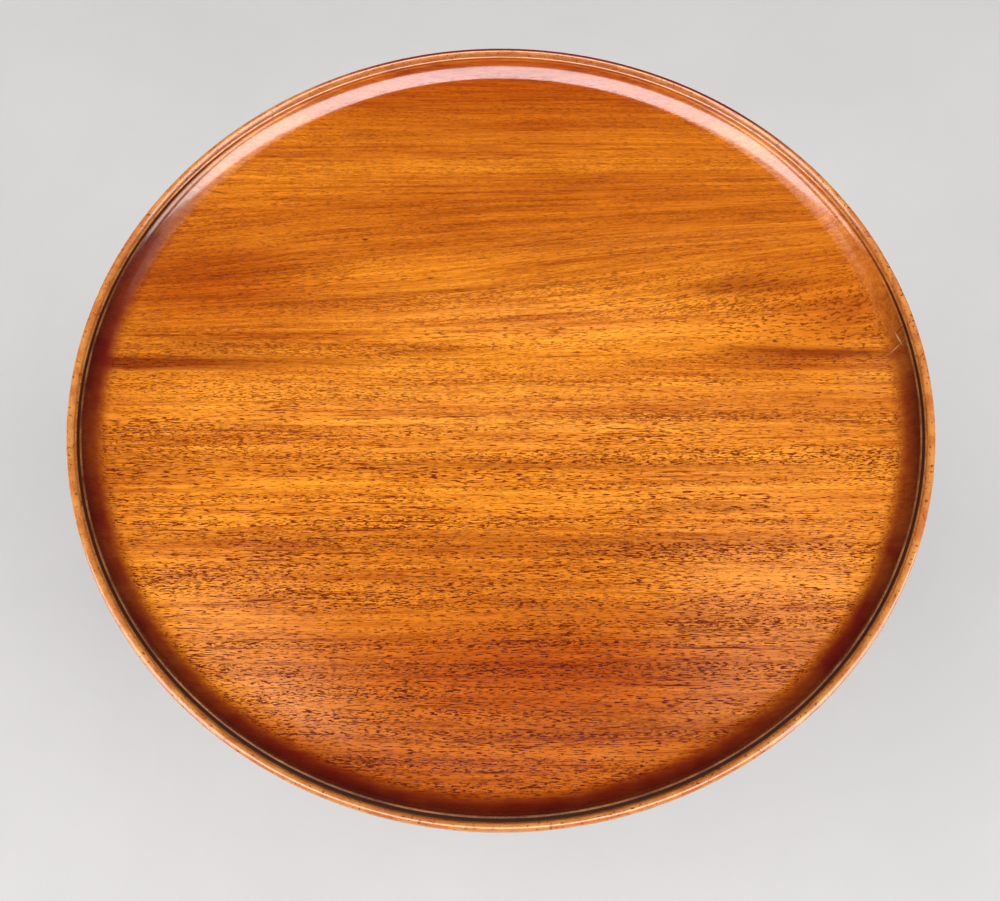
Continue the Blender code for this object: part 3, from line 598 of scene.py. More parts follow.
def grain_group() -> Tree:
    """Mahogany, with the grain along X: ribbons, fine lines, and open pores in bands.

    Some bands have short curled pores, others long straight ones, and a few have long dark lines.

    Returns:
        The group. It puts out the colour, a mask of the pores, the ribbons and a height.
    """
    graph, given, out = new_group(
        "mahogany_grain",
        [("Place", "Vector", None), ("Light", "Color", (0.6, 0.2, 0.03)),
         ("Deep", "Color", (0.3, 0.07, 0.01)), ("Pore", "Color", (0.08, 0.02, 0.006)),
         ("Ribbon", "Float", 1.0), ("Pore Depth", "Float", 0.8)],
        [("Colour", "Color"), ("Pores", "Float"), ("Figure", "Float"), ("Height", "Float")])
    bend = graph.noise(given["Place"], (3.0, 11, 11), 2, 0.5, colour=True)
    bend = graph.vector("SUBTRACT", bend, (0.5, 0.5, 0.5))
    bend = graph.vector("MULTIPLY", bend, (0.0, 0.012, 0.012))
    place = graph.vector("ADD", given["Place"], bend)
    ribbon = graph.noise(place, (3.0, 55, 55), 3, 0.6)
    streak = graph.noise(place, (9.0, 400, 400), 3, 0.6, shift=(3, 0, 0))
    curl = graph.noise(place, (270, 1750, 1750), 1, 0.5, 0.6, shift=(0, 7, 0))
    dash = graph.noise(place, (190, 1550, 1550), 2, 0.5, 0.25, shift=(5, 0, 3))
    fine = graph.noise(place, (45, 1700, 1700), 1, 0.5, shift=(1, 6, 2))
    line = graph.noise(place, (16, 820, 820), 2, 0.5, shift=(9, 4, 0))
    band = graph.noise(place, (1.8, 82, 82), 2, 0.5, shift=(0, 0, 5))
    crowd = graph.noise(place, (7, 50, 50), 2, 0.6, shift=(2, 9, 1))
    figure = graph.span(ribbon, 0.30, 0.70)
    lines = graph.span(streak, 0.28, 0.72, smooth=False)
    tone = graph.times_plus(graph.less(figure, 0.5), given["Ribbon"], 0.58)
    tone = graph.times_plus(graph.less(lines, 0.5), 0.70, tone)
    tone = graph.times_plus(graph.less(fine, 0.5), 0.90, tone, clamp=True)
    colour = graph.mix(tone, given["Deep"], given["Light"])
    curly = graph.span(band, 0.45, 0.53)
    layers = []
    kinds = (
        (curl, curly, 0.497, 0.052, 0.95),
        (dash, graph.rest(curly), 0.530, 0.050, 1.00),
        (line, 1.0, 0.630, 0.060, 0.90),
    )
    for marks, weight, low, edge, depth in kinds:
        start = graph.span(crowd, 0.3, 0.7, low + 0.06, low - 0.03, smooth=False)
        there = graph.span(graph.less(marks, start), 0.0, edge, 0.0, depth)
        layers.append(graph.times(there, weight))
    pores = graph.most(graph.most(layers[0], layers[1]), layers[2])
    shade = graph.times(pores, given["Pore Depth"], clamp=True)
    colour = graph.mix(shade, colour, given["Pore"])
    height = graph.times_plus(pores, -0.8, graph.times(lines, 0.2))
    graph.fill(out, Colour=colour, Pores=pores, Figure=figure, Height=height)
    return graph.tree


def streak_group() -> Tree:
    """A soft streak in the figure of a board.

    Returns:
        The group. Its mask is 1 in the streak's middle and fades to nothing.
    """
    graph, given, out = new_group(
        "soft_streak",
        [("Place", "Vector", None), ("Middle", "Vector", (0, 0, 0)), ("Turn", "Float", 0.0),
         ("Spread", "Vector", (10, 100, 0)), ("Strength", "Float", 1.0)],
        [("Mask", "Float")])
    turned = graph.node("VectorRotate", rotation_type="Z_AXIS")
    graph.fill(turned, Vector=graph.vector("SUBTRACT", given["Place"], given["Middle"]),
               Angle=graph.times(given["Turn"], -1))
    far = graph.vector("LENGTH", graph.vector("MULTIPLY", turned.outputs[0], given["Spread"]))
    fade = graph.math("EXPONENT", graph.times(graph.times(far, far), -1))
    graph.fill(out, Mask=graph.times(fade, given["Strength"], clamp=True))
    return graph.tree


def wear_group() -> Tree:
    """Rubbed edges and dirt in corners, from the ridge and hollow attributes of a piece.

    Returns:
        The group. It puts out masks of wear and of grime.
    """
    graph, given, out = new_group(
        "rubbed_edges",
        [("Place", "Vector", None), ("Wear", "Float", 0.6), ("Grime", "Float", 0.6)],
        [("Wear", "Float"), ("Grime", "Float")])
    ridge = graph.node("Attribute", attribute_name="ridge").outputs["Fac"]
    hollow = graph.node("Attribute", attribute_name="hollow").outputs["Fac"]
    patch = graph.noise(given["Place"], 55, 3, 0.6)
    fine = graph.noise(given["Place"], 420, 2, 0.6, shift=(3, 1, 0))
    rubbed = graph.times(ridge, graph.span(patch, 0.32, 0.68, 0.25, 1.15))
    rubbed = graph.times(rubbed, graph.span(fine, 0.25, 0.6, 0.55, 1.0))
    dirt = graph.times(hollow, graph.span(patch, 0.25, 0.7, 1.1, 0.45))
    graph.fill(out, Wear=graph.times(rubbed, given["Wear"], clamp=True),
               Grime=graph.times(dirt, given["Grime"], clamp=True))
    return graph.tree


def handling_group() -> Tree:
    """Use on a polished or bare surface: smears in the gloss, hairline scratches and dust.

    Returns:
        The group. It puts out a change of roughness, a dust mask and a height.
    """
    graph, given, out = new_group(
        "handling",
        [("Place", "Vector", None), ("Smear", "Float", 0.06), ("Scratches", "Float", 0.5)],
        [("Roughness", "Float"), ("Dust", "Float"), ("Height", "Float")])
    smear = graph.noise(given["Place"], (14, 22, 22), 4, 0.6, 0.6)
    speck = graph.noise(given["Place"], 900, 1, 0.5)
    marks = []
    for turn, shift in ((0.35, 0.0), (-0.8, 9.0)):
        turned = graph.mapped(given["Place"], (1, 1, 1), turn=(0, 0.2, turn))
        lines = graph.noise(turned, (9, 900, 900), 1, 0.4, shift=(shift, 0, 0))
        patch = graph.noise(given["Place"], 16, 1, 0.5, shift=(0, shift, 2))
        marks.append(graph.times(graph.span(lines, 0.70, 0.78), graph.span(patch, 0.5, 0.65)))
    scratches = graph.times(graph.most(*marks), given["Scratches"])
    change = graph.times(graph.less(smear, 0.5), given["Smear"])
    graph.fill(out, Roughness=graph.times_plus(scratches, 0.12, change), Dust=graph.span(speck, 0.74, 0.80),
               Height=graph.times(scratches, -1.0))
    return graph.tree


class Groups:
    """The shared effects, each built once."""

    def __init__(self) -> None:
        """Builds every group."""
        self.grain = grain_group()
        self.streak = streak_group()
        self.wear = wear_group()
        self.handling = handling_group()


GROUPS = Groups()


@dataclass(frozen=True)
class Finish:
    """What every finish shares: a name, the record's slot, and a material that is built once."""

    name: str
    slot: str = ""

    def start(self) -> tuple[Material, Graph, bpy.types.Node]:
        """Starts a material.

        Returns:
            The material, its graph and its Principled shader.
        """
        material = bpy.data.materials.new(self.name)
        material.use_nodes = True
        material.node_tree.nodes.clear()
        graph = Graph(material.node_tree)
        shader = graph.node("BsdfPrincipled")
        graph.fill(graph.node("OutputMaterial"), Surface=shader.outputs[0])
        return material, graph, shader

    def material(self) -> Material:
        """The finish's material, built at its first use."""
        return bpy.data.materials.get(self.name) or self.build()

    def build(self) -> Material:
        """Builds the material; each kind of finish has its own way."""
        raise NotImplementedError


@dataclass(frozen=True)
class Streak:
    """One streak in the figure of the top."""

    x: float
    y: float
    half_length: float
    half_width: float
    turn: float = 0.0
    strength: float = 1.0


@dataclass(frozen=True)
class TopPolish(Finish):
    """The top's polished mahogany, with its own figure and the marks of its use.

    The figure is laid in soft streaks of three tints; the widest red ones, along the far and near
    edges, are partly painted shade. The cove's dark is laid by the direction from the top's centre,
    and is lightest at the far side: partly patina, partly painted shade where the cove turns from
    the light. The groove's dark is partly dirt and partly painted shade, and the far bead's outer
    face holds painted shade.
    """

    light: Colour = (0.79, 0.279, 0.016)
    deep: Colour = (0.36, 0.068, 0.003)
    pore: Colour = (0.122, 0.012, 0.0005)
    patina_and_shade: Colour = (0.105, 0.0035, 0.0006)
    groove_dirt_and_shade: Colour = (0.030, 0.007, 0.002)
    bead: Colour = (0.52, 0.205, 0.045)
    golden_tint: Colour = (1.05, 1.15, 2.6)
    red_tint: Colour = (0.52, 0.27, 0.07)
    dark_tint: Colour = (0.44, 0.25, 0.20)
    deep_patina_and_shade: Colour = (0.020, 0.0008, 0.0004)
    stained_bead: Colour = (0.38, 0.10, 0.018)
    far_bead_painted_shade: Colour = (0.16, 0.012, 0.004)
    rubbed: Colour = (0.78, 0.36, 0.10)
    nick: Colour = (0.03, 0.010, 0.006)
    scuff: Colour = (0.75, 0.45, 0.22)
    raw_light: Colour = (0.42, 0.175, 0.065)
    raw_deep: Colour = (0.30, 0.110, 0.038)
    roughness: float = 0.22
    ior: float = 1.2
    coat_ior: float = 1.8
    coat_roughness: float = 0.13
    raw_below: float = 0.6865
    polished_above: float = 0.6880
    cove_radius: float = 0.2765
    lip_radius: float = 0.2917
    quirk_radius: float = 0.2938
    bead_level: float = 0.7068
    rise_middle: float = 0.11
    rise_half: float = 0.09
    rise_slope: float = 0.12
    dark: tuple[Streak, ...] = (
        Streak(-0.262, 0.019, 0.105, 0.0058, 0.00, 1.35), Streak(-0.130, 0.021, 0.09, 0.0038, 0.01, 0.45),
        Streak(0.225, 0.0275, 0.065, 0.0050, -0.01, 1.00), Streak(0.168, 0.085, 0.060, 0.0075, 0.10, 0.85),
        Streak(-0.020, 0.081, 0.075, 0.0024, 0.09, 0.60), Streak(-0.040, 0.030, 0.034, 0.0024, 0.02, 0.50),
        Streak(-0.045, 0.145, 0.060, 0.0028, 0.16, 0.50), Streak(0.00, -0.060, 0.30, 0.0060, 0.00, 0.30),
        Streak(0.02, -0.115, 0.28, 0.0050, 0.00, 0.30), Streak(0.140, -0.0925, 0.060, 0.0030, 0.0, 0.45),
    )
    # The widest two, along the far and near edges, darken and redden the field there: partly the figure,
    # partly painted shade where less light falls.
    red: tuple[Streak, ...] = (
        Streak(0.0, 0.285, 0.50, 0.095, 0.0, 1.00), Streak(0.0, -0.28, 0.60, 0.075, 0.0, 0.85),
        Streak(0.030, 0.235, 0.10, 0.020, 0.0, 0.95), Streak(0.190, 0.150, 0.075, 0.025, 0.1, 0.70),
        Streak(-0.215, 0.085, 0.120, 0.055, 0.0, 0.95), Streak(0.02, -0.205, 0.200, 0.060, 0.0, 1.00),
        Streak(0.0, 0.150, 0.50, 0.055, 0.03, 0.72), Streak(-0.285, -0.020, 0.060, 0.110, 0.0, 0.50),
        Streak(0.0, -0.130, 0.16, 0.028, 0.0, 0.50), Streak(0.24, 0.08, 0.08, 0.080, 0.0, 0.70),
        Streak(0.20, 0.020, 0.050, 0.022, 0.0, 0.60),
    )
    golden: tuple[Streak, ...] = (
        Streak(0.030, 0.055, 0.12, 0.020, 0.0, 0.70), Streak(0.262, 0.010, 0.018, 0.024, 0.0, 0.9),
        Streak(0.03, -0.02, 0.26, 0.032, 0.0, 0.60), Streak(0.12, 0.125, 0.09, 0.010, 0.05, 0.35),
        Streak(0.17, -0.08, 0.10, 0.040, 0.0, 0.50),
    )
    specks: tuple[Streak, ...] = (
        Streak(-0.1025, 0.124, 0.0022, 0.0009, 0.0, 1.0), Streak(-0.0525, 0.090, 0.0024, 0.0008, 0.1, 0.9),
        Streak(0.1975, 0.0375, 0.0014, 0.0012, 0.0, 0.9), Streak(0.010, -0.0775, 0.0018, 0.0010, 0.0, 0.9),
        Streak(0.2986, 0.036, 0.0030, 0.0006, 0.0, 0.9), Streak(0.03, -0.2985, 0.0007, 0.0026, 0.0, 0.8),
        Streak(0.2865, 0.0433, 0.0040, 0.00032, 0.75, 0.9),
        Streak(-0.2347, 0.1688, 0.0088, 0.00028, -0.29, 0.75),
        Streak(-0.2173, 0.1672, 0.0090, 0.0007, -0.17, 0.7),
    )
    scuffs: tuple[Streak, ...] = (
        Streak(0.2850, 0.0368, 0.0045, 0.00035, -1.28, 0.4),
        Streak(0.2826, 0.0298, 0.0046, 0.00035, 0.69, 0.3),
    )

    def masks(self, graph: Graph, place: object, streaks: Sequence[Streak]) -> object:
        """The strongest of several streaks at each point.

        Args:
            graph: the material's graph.
            place: the coordinates.
            streaks: the streaks.

        Returns:
            The mask's socket.
        """
        total = None
        for streak in streaks:
            mask = graph.place(GROUPS.streak, Place=place, Middle=(streak.x, streak.y, 0), Turn=streak.turn,
                               Spread=(1 / streak.half_length, 1 / streak.half_width, 0),
                               Strength=streak.strength)["Mask"]
            total = mask if total is None else graph.most(total, mask)
        return total

    def build(self) -> Material:
        """Builds the material.

        Returns:
            The material.
        """
        material, graph, shader = self.start()
        place = graph.node("TexCoord").outputs["Object"]
        parts = graph.node("SeparateXYZ")
        graph.feed(parts.inputs[0], place)
        radius = graph.vector("LENGTH", graph.vector("MULTIPLY", place, (1, 1, 0)))
        rise = graph.math("ABSOLUTE", graph.less(parts.outputs["Y"], self.rise_middle))
        rise = graph.times(graph.span(rise, 0.0, self.rise_half, self.rise_slope, 0.0),
                           graph.plus(parts.outputs["X"], 0.10))
        lifted = graph.node("CombineXYZ")
        graph.feed(lifted.inputs["Y"], graph.times(rise, -1.0))
        lie = graph.vector("ADD", place, lifted.outputs[0])
        open_pores = graph.span(radius, self.cove_radius + 0.001, self.cove_radius + 0.008, 0.91, 0.30)
        open_pores = graph.times(open_pores, graph.span(parts.outputs["Y"], -0.12, 0.16, 1.18, 0.62))
        wobble = graph.noise(place, (7, 34, 0), 3, 0.6, colour=True)
        wobble = graph.vector("MULTIPLY", graph.vector("SUBTRACT", wobble, (0.5, 0.5, 0.5)), (0.03, 0.008, 0))
        bent = graph.vector("ADD", place, wobble)
        grain = graph.place(GROUPS.grain, Place=lie, Light=self.light, Deep=self.deep, Pore=self.pore,
                            Ribbon=0.45, Pore_Depth=open_pores)
        colour = grain["Colour"]
        tints = (
            (self.golden, self.golden_tint),
            (self.red, self.red_tint),
            (self.dark, self.dark_tint),
        )
        for streaks, tint in tints:
            colour = graph.mix(self.masks(graph, bent, streaks), colour, tint, "MULTIPLY")
        # The cove's dark is partly patina and partly painted shade: heaviest at the left, near and right,
        # where the cove turns from the light, and deepest towards the lip.
        cove = graph.span(radius, self.cove_radius - 0.003, self.cove_radius + 0.008)
        patch = graph.noise(place, 20, 3, 0.6, shift=(5, 2, 0))
        cove = graph.times(cove, graph.span(patch, 0.3, 0.7, 0.80, 1.0))
        # How far round a point lies towards the far side; it sets how much painted shade falls on the cove,
        # the bead and the groove.
        shaded = graph.times_plus(parts.outputs["X"], 0.20, parts.outputs["Y"])
        shaded = graph.math("DIVIDE", shaded, radius)
        cove = graph.times(cove, graph.span(shaded, 0.12, 0.66, 1.0, 0.0))
        colour = graph.mix(cove, colour, self.patina_and_shade)
        depth = graph.times(cove, graph.span(radius, self.cove_radius + 0.004, self.lip_radius))
        colour = graph.mix(graph.times(depth, 0.75), colour, self.deep_patina_and_shade)
        rim = graph.span(radius, self.quirk_radius - 0.0002, self.quirk_radius + 0.0012)
        blotch = graph.noise(place, (70, 70, 200), 3, 0.65, shift=(0, 4, 1))
        bead = graph.mix(graph.span(blotch, 0.3, 0.7), self.stained_bead, self.bead)
        # On the far side the bead's upper outer face is painted dark red: painted shade on the face that
        # turns from the light.
        upper = graph.span(parts.outputs["Z"], self.bead_level - 0.0012, self.bead_level)
        outer = graph.span(radius, self.quirk_radius + 0.0018, self.quirk_radius + 0.0034)
        outer = graph.times(upper, outer)
        bead = graph.mix(graph.times(graph.span(shaded, 0.72, 0.93), outer), bead, self.far_bead_painted_shade)
        dots = graph.noise(place, 420, 2, 0.6, 0.4, shift=(1, 3, 0))
        bead = graph.mix(graph.span(dots, 0.60, 0.66, 0.0, 0.8), bead, self.pore)
        colour = graph.mix(rim, colour, bead)
        wear = graph.place(GROUPS.wear, Place=place, Wear=0.55)
        colour = graph.mix(wear["Wear"], colour, self.rubbed)
        # The groove between lip and bead is painted near black, less so towards the far side: partly dirt,
        # partly painted shade in the recess.
        past_lip = graph.span(radius, self.lip_radius - 0.0001, self.lip_radius + 0.0006)
        past_quirk = graph.span(radius, self.quirk_radius - 0.0002, self.quirk_radius + 0.0006)
        grime = graph.less(past_lip, past_quirk, clamp=True)
        grime = graph.times(grime, graph.span(shaded, 0.35, 0.80, 1.0, 0.15))
        colour = graph.mix(grime, colour, self.groove_dirt_and_shade)
        edge = graph.times(rim, graph.rest(upper))
        nicks = graph.times(self.masks(graph, place, self.specks), graph.rest(edge))
        colour = graph.mix(nicks, colour, self.nick)
        colour = graph.mix(self.masks(graph, place, self.scuffs), colour, self.scuff)
        below = graph.span(parts.outputs["Z"], self.raw_below, self.polished_above, 1, 0)
        raw = graph.mix(grain["Figure"], self.raw_light, self.raw_deep)
        raw = graph.mix(graph.times(grain["Pores"], 0.35), raw, self.pore)
        colour = graph.mix(below, colour, raw)
        used = graph.place(GROUPS.handling, Place=place, Smear=0.10, Scratches=0.5)
        rough = graph.plus(used["Roughness"], self.roughness)
        rough = graph.times_plus(grain["Pores"], 0.12, rough)
        rough = graph.times_plus(below, 0.38, rough)
        rough = graph.times_plus(grime, 0.50, rough, clamp=True)
        sunk = graph.times(grain["Pores"], open_pores, clamp=True)
        bare = graph.most(grime, graph.times(below, 0.92))
        bare = graph.most(bare, graph.times(sunk, 0.95))
        gloss = graph.rest(bare, clamp=True)
        normal = graph.bump(grain["Height"], 0.10, 0.00010)
        waves = graph.noise(place, (40, 90, 40), 2, 0.5)
        normal = graph.bump(waves, 0.06, 0.0006, normal)
        normal = graph.bump(used["Height"], 0.25, 0.00005, normal)
        graph.fill(shader, Base_Color=colour, Roughness=rough, IOR=self.ior, Coat_Weight=gloss,
                   Coat_IOR=self.coat_ior, Coat_Roughness=self.coat_roughness, Normal=normal)
        return material


@dataclass(frozen=True)
class Timber(Finish):
    """Mahogany of the under-parts, polished or bare, laid by each piece's grain_place attribute."""

    light: Colour = (0.36, 0.085, 0.013)
    deep: Colour = (0.16, 0.026, 0.005)
    pore: Colour = (0.035, 0.007, 0.003)
    worn: Colour = (0.54, 0.19, 0.045)
    grime: Colour = (0.035, 0.014, 0.008)
    dust: Colour = (0.45, 0.38, 0.30)
    roughness: float = 0.30
    coat: float = 0.0
    coat_roughness: float = 0.2
    wear: float = 0.6
    dirt: float = 0.7
    open_pores: float = 0.45
    relief: float = 0.12

    def build(self) -> Material:
        """Builds the material.

        Returns:
            The material.
        """
        material, graph, shader = self.start()
        place = graph.node("Attribute", attribute_name="grain_place").outputs["Vector"]
        grain = graph.place(GROUPS.grain, Place=place, Light=self.light, Deep=self.deep, Pore=self.pore,
                            Ribbon=0.9, Pore_Depth=self.open_pores)
        wear = graph.place(GROUPS.wear, Place=place, Wear=self.wear, Grime=self.dirt)
        used = graph.place(GROUPS.handling, Place=place, Smear=0.14, Scratches=0.6)
        cloud = graph.noise(place, (9, 14, 14), 3, 0.55, shift=(2, 8, 1))
        colour = graph.mix(graph.span(cloud, 0.3, 0.7, 0.0, 0.45), grain["Colour"], self.deep)
        colour = graph.mix(wear["Wear"], colour, self.worn)
        colour = graph.mix(wear["Grime"], colour, self.grime)
        colour = graph.mix(graph.times(used["Dust"], 0.25), colour, self.dust)
        rough = graph.plus(used["Roughness"], self.roughness)
        rough = graph.times_plus(wear["Grime"], 0.25, rough)
        rough = graph.times_plus(grain["Pores"], 0.15, rough, clamp=True)
        normal = graph.bump(grain["Height"], self.relief, 0.0002)
        normal = graph.bump(used["Height"], 0.3, 0.00006, normal)
        graph.fill(shader, Base_Color=colour, Roughness=rough, Coat_Weight=self.coat,
                   Coat_Roughness=self.coat_roughness, Normal=normal)
        return material


@dataclass(frozen=True)
class Metal(Finish):
    """Brass, iron or steel with tarnish, rubbed edges and tool marks."""

    clean: Colour = (0.88, 0.66, 0.30)
    tarnish: Colour = (0.58, 0.39, 0.15)
    grime: Colour = (0.05, 0.04, 0.025)
    rust: Colour = (0.22, 0.075, 0.022)
    rust_share: float = 0.0
    tarnish_low: float = 0.35
    roughness: float = 0.30
    hammered: float = 0.1

    def build(self) -> Material:
        """Builds the material.

        Returns:
            The material.
        """
        material, graph, shader = self.start()
        place = graph.node("TexCoord").outputs["Object"]
        wear = graph.place(GROUPS.wear, Place=place, Wear=0.85, Grime=0.8)
        used = graph.place(GROUPS.handling, Place=place, Smear=0.16, Scratches=0.9)
        cloud = graph.noise(place, 150, 4, 0.62)
        fine = graph.noise(place, 1100, 3, 0.6, shift=(4, 0, 0))
        stain = graph.times_plus(graph.less(fine, 0.5), 0.35, cloud)
        tarnished = graph.span(stain, self.tarnish_low, self.tarnish_low + 0.35)
        tarnished = graph.times(tarnished, graph.rest(wear["Wear"], clamp=True))
        colour = graph.mix(tarnished, self.clean, self.tarnish)
        colour = graph.mix(wear["Grime"], colour, self.grime)
        rusty = graph.noise(place, 180, 4, 0.62, shift=(9, 2, 3))
        rusty = graph.times(graph.span(rusty, 0.44, 0.70), self.rust_share)
        colour = graph.mix(rusty, colour, self.rust)
        dull = graph.most(rusty, graph.times(wear["Grime"], 0.7))
        crust = graph.most(dull, graph.span(tarnished, 0.0, 1.0, 0.15, 0.70, smooth=False))
        metallic = graph.rest(crust, clamp=True)
        rough = graph.times_plus(tarnished, 0.16, self.roughness)
        rough = graph.plus(rough, used["Roughness"])
        rough = graph.times_plus(dull, 0.35, rough, clamp=True)
        dents = graph.noise(place, 320, 2, 0.5, shift=(1, 1, 6))
        normal = graph.bump(dents, self.hammered, 0.0006)
        normal = graph.bump(fine, 0.12, 0.0001, normal)
        normal = graph.bump(used["Height"], 0.4, 0.00006, normal)
        graph.fill(shader, Base_Color=colour, Metallic=metallic, Roughness=rough, Normal=normal)
        return material


@dataclass(frozen=True)
class Plaster(Finish):
    """The floor's pale plaster. A camera below it sees through it to the table."""

    colour: Colour = (0.43, 0.425, 0.415)
    clouding: float = 0.95
    roughness: float = 0.75
    specular: float = 0.2

    def build(self) -> Material:
        """Builds the material.

        Returns:
            The material.
        """
        material, graph, shader = self.start()
        place = graph.node("TexCoord").outputs["Object"]
        cloud = graph.noise(place, 2.5, 4, 0.6)
        darker = tuple(self.clouding * part for part in self.colour)
        colour = graph.mix(graph.span(cloud, 0.3, 0.7), self.colour, darker)
        below = graph.times(graph.node("LightPath").outputs["Is Camera Ray"],
                            graph.node("NewGeometry").outputs["Backfacing"])
        graph.fill(shader, Base_Color=colour, Roughness=self.roughness, Specular_IOR_Level=self.specular,
                   Alpha=graph.rest(below))
        return material


TOP_POLISH = TopPolish("top_polish", "top_mahogany")
BASE_POLISH = Timber("base_polish", "base_mahogany", coat=0.35)
BARE_TIMBER = Timber("bare_timber", "frame_mahogany", light=(0.40, 0.165, 0.060), deep=(0.24, 0.080, 0.027),
                     worn=(0.46, 0.23, 0.10), roughness=0.58, wear=0.4, open_pores=0.42, relief=0.3)
BRASS = Metal("aged_brass", "catch_brass")
IRON = Metal("black_iron", "spider_iron", clean=(0.15, 0.14, 0.135), tarnish=(0.085, 0.079, 0.074),
             roughness=0.50, rust_share=0.16, hammered=0.16, tarnish_low=0.30)
STEEL = Metal("old_screw_steel", "screw_steel", clean=(0.46, 0.44, 0.41), tarnish=(0.20, 0.18, 0.16),
              rust_share=0.4)
SPRING_STEEL = Metal("spring_wire", "spring_steel", clean=(0.40, 0.40, 0.41), tarnish=(0.22, 0.22, 0.24),
                     rust_share=0.1, roughness=0.26)
FINISHES = (TOP_POLISH, BASE_POLISH, BARE_TIMBER, BRASS, IRON, STEEL, SPRING_STEEL)
PLASTER = Plaster("pale_floor")


def mark_edges(obj: Piece, reach: float = 0.002, least: float = 0.06, gain: float = 3.2) -> None:
    """Stores where a piece's surface is ridged and where it is hollow.

    Args:
        obj: the finished piece.
        reach: edges longer than this count for less, so wide faces don't read as edges.
        least: the bend that starts to count.
        gain: how fast the mark grows with the bend.
    """
    mesh = obj.data
    shape = bmesh.new()
    shape.from_mesh(mesh)
    shape.normal_update()
    bends = []
    for vert in shape.verts:
        total = 0.0
        for edge in vert.link_edges:
            way = edge.other_vert(vert).co - vert.co
            length = way.length
            if length > 0:
                total += vert.normal.dot(way / length) / max(1, length / reach)
        bends.append(total / max(1, len(vert.link_edges)))
    shape.free()
    for label, sign in (("ridge", -1), ("hollow", 1)):
        attribute = mesh.attributes.new(label, "FLOAT", "POINT")
        values = [min(1.0, max(0.0, (sign * bend - least) * gain)) for bend in bends]
        attribute.data.foreach_set("value", values)


def lay_grain(obj: Piece, frame_of_grain: Matrix) -> None:
    """Stores each point's place in the board that the piece was cut from.

    Args:
        obj: the finished piece.
        frame_of_grain: carries the table's coordinates to the board's, with the grain along X.
    """
    attribute = obj.data.attributes.new("grain_place", "FLOAT_VECTOR", "POINT")
    values = []
    for vert in obj.data.vertices:
        values.extend(frame_of_grain @ vert.co)
    attribute.data.foreach_set("vector", values)


def board(along: Row, across: Row, shift: Row) -> Matrix:
    """A board's own coordinates.

    Args:
        along: which way the grain runs.
        across: a way across the grain.
        shift: where in the tree the board lay.

    Returns:
        The matrix from the table's coordinates to the board's.
    """
    first = Vector(along).normalized()
    third = first.cross(Vector(across)).normalized()
    second = third.cross(first)
    turn = Matrix((first, second, third)).to_4x4()
    return Matrix.Translation(Vector(shift)) @ turn


def dress(obj: Piece, finish: Finish, body: Body, node: str, grain: Matrix | None = None,
          angle: float = 32) -> None:
    """Finishes a modelled piece and ties it to the frame.

    Args:
        obj: the piece.
        finish: its finish.
        body: the body that it rides on.
        node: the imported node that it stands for.
        grain: its board's coordinates, for timber.
        angle: edges past this many degrees stay sharp.
    """
    obj.data.materials.clear()
    obj.data.materials.append(finish.material())
    mark_edges(obj)
    if grain is not None:
        lay_grain(obj, grain)
    Bench.shade(obj, angle)
    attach(obj, body.value)
    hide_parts(node)
    LOG.info("%s: %d faces, rides on %s", obj.name, len(obj.data.polygons), body.value)


def arc(centre: tuple[float, float], half_width: float, half_height: float, start: float, end: float,
        steps: int) -> Pairs:
    """The points of an elliptical arc from one angle to another, in degrees."""
    angles = [math.radians(start + (end - start) * step / steps) for step in range(steps + 1)]
    return [(centre[0] + half_width * math.cos(a), centre[1] + half_height * math.sin(a)) for a in angles]


def smooth_through(points: Sequence[Row], steps: int) -> list[tuple[float, ...]]:
    """A smooth curve through points.

    Args:
        points: the points, of any number of coordinates.
        steps: steps between each two.

    Returns:
        The curve's points.
    """
    rows = [list(point) for point in points]
    first = [2 * a - b for a, b in zip(rows[0], rows[1])]
    last = [2 * a - b for a, b in zip(rows[-1], rows[-2])]
    padded = [first, *rows, last]
    curve = []
    for four in zip(padded, padded[1:], padded[2:], padded[3:]):
        for step in range(steps):
            t = step / steps
            curve.append(tuple(
                s + ((e - b) * t + (2 * b - 5 * s + 4 * e - a) * t ** 2
                     + (3 * s - b - 3 * e + a) * t ** 3) / 2
                for b, s, e, a in zip(*four)))
    curve.append(tuple(rows[-1]))
    return curve


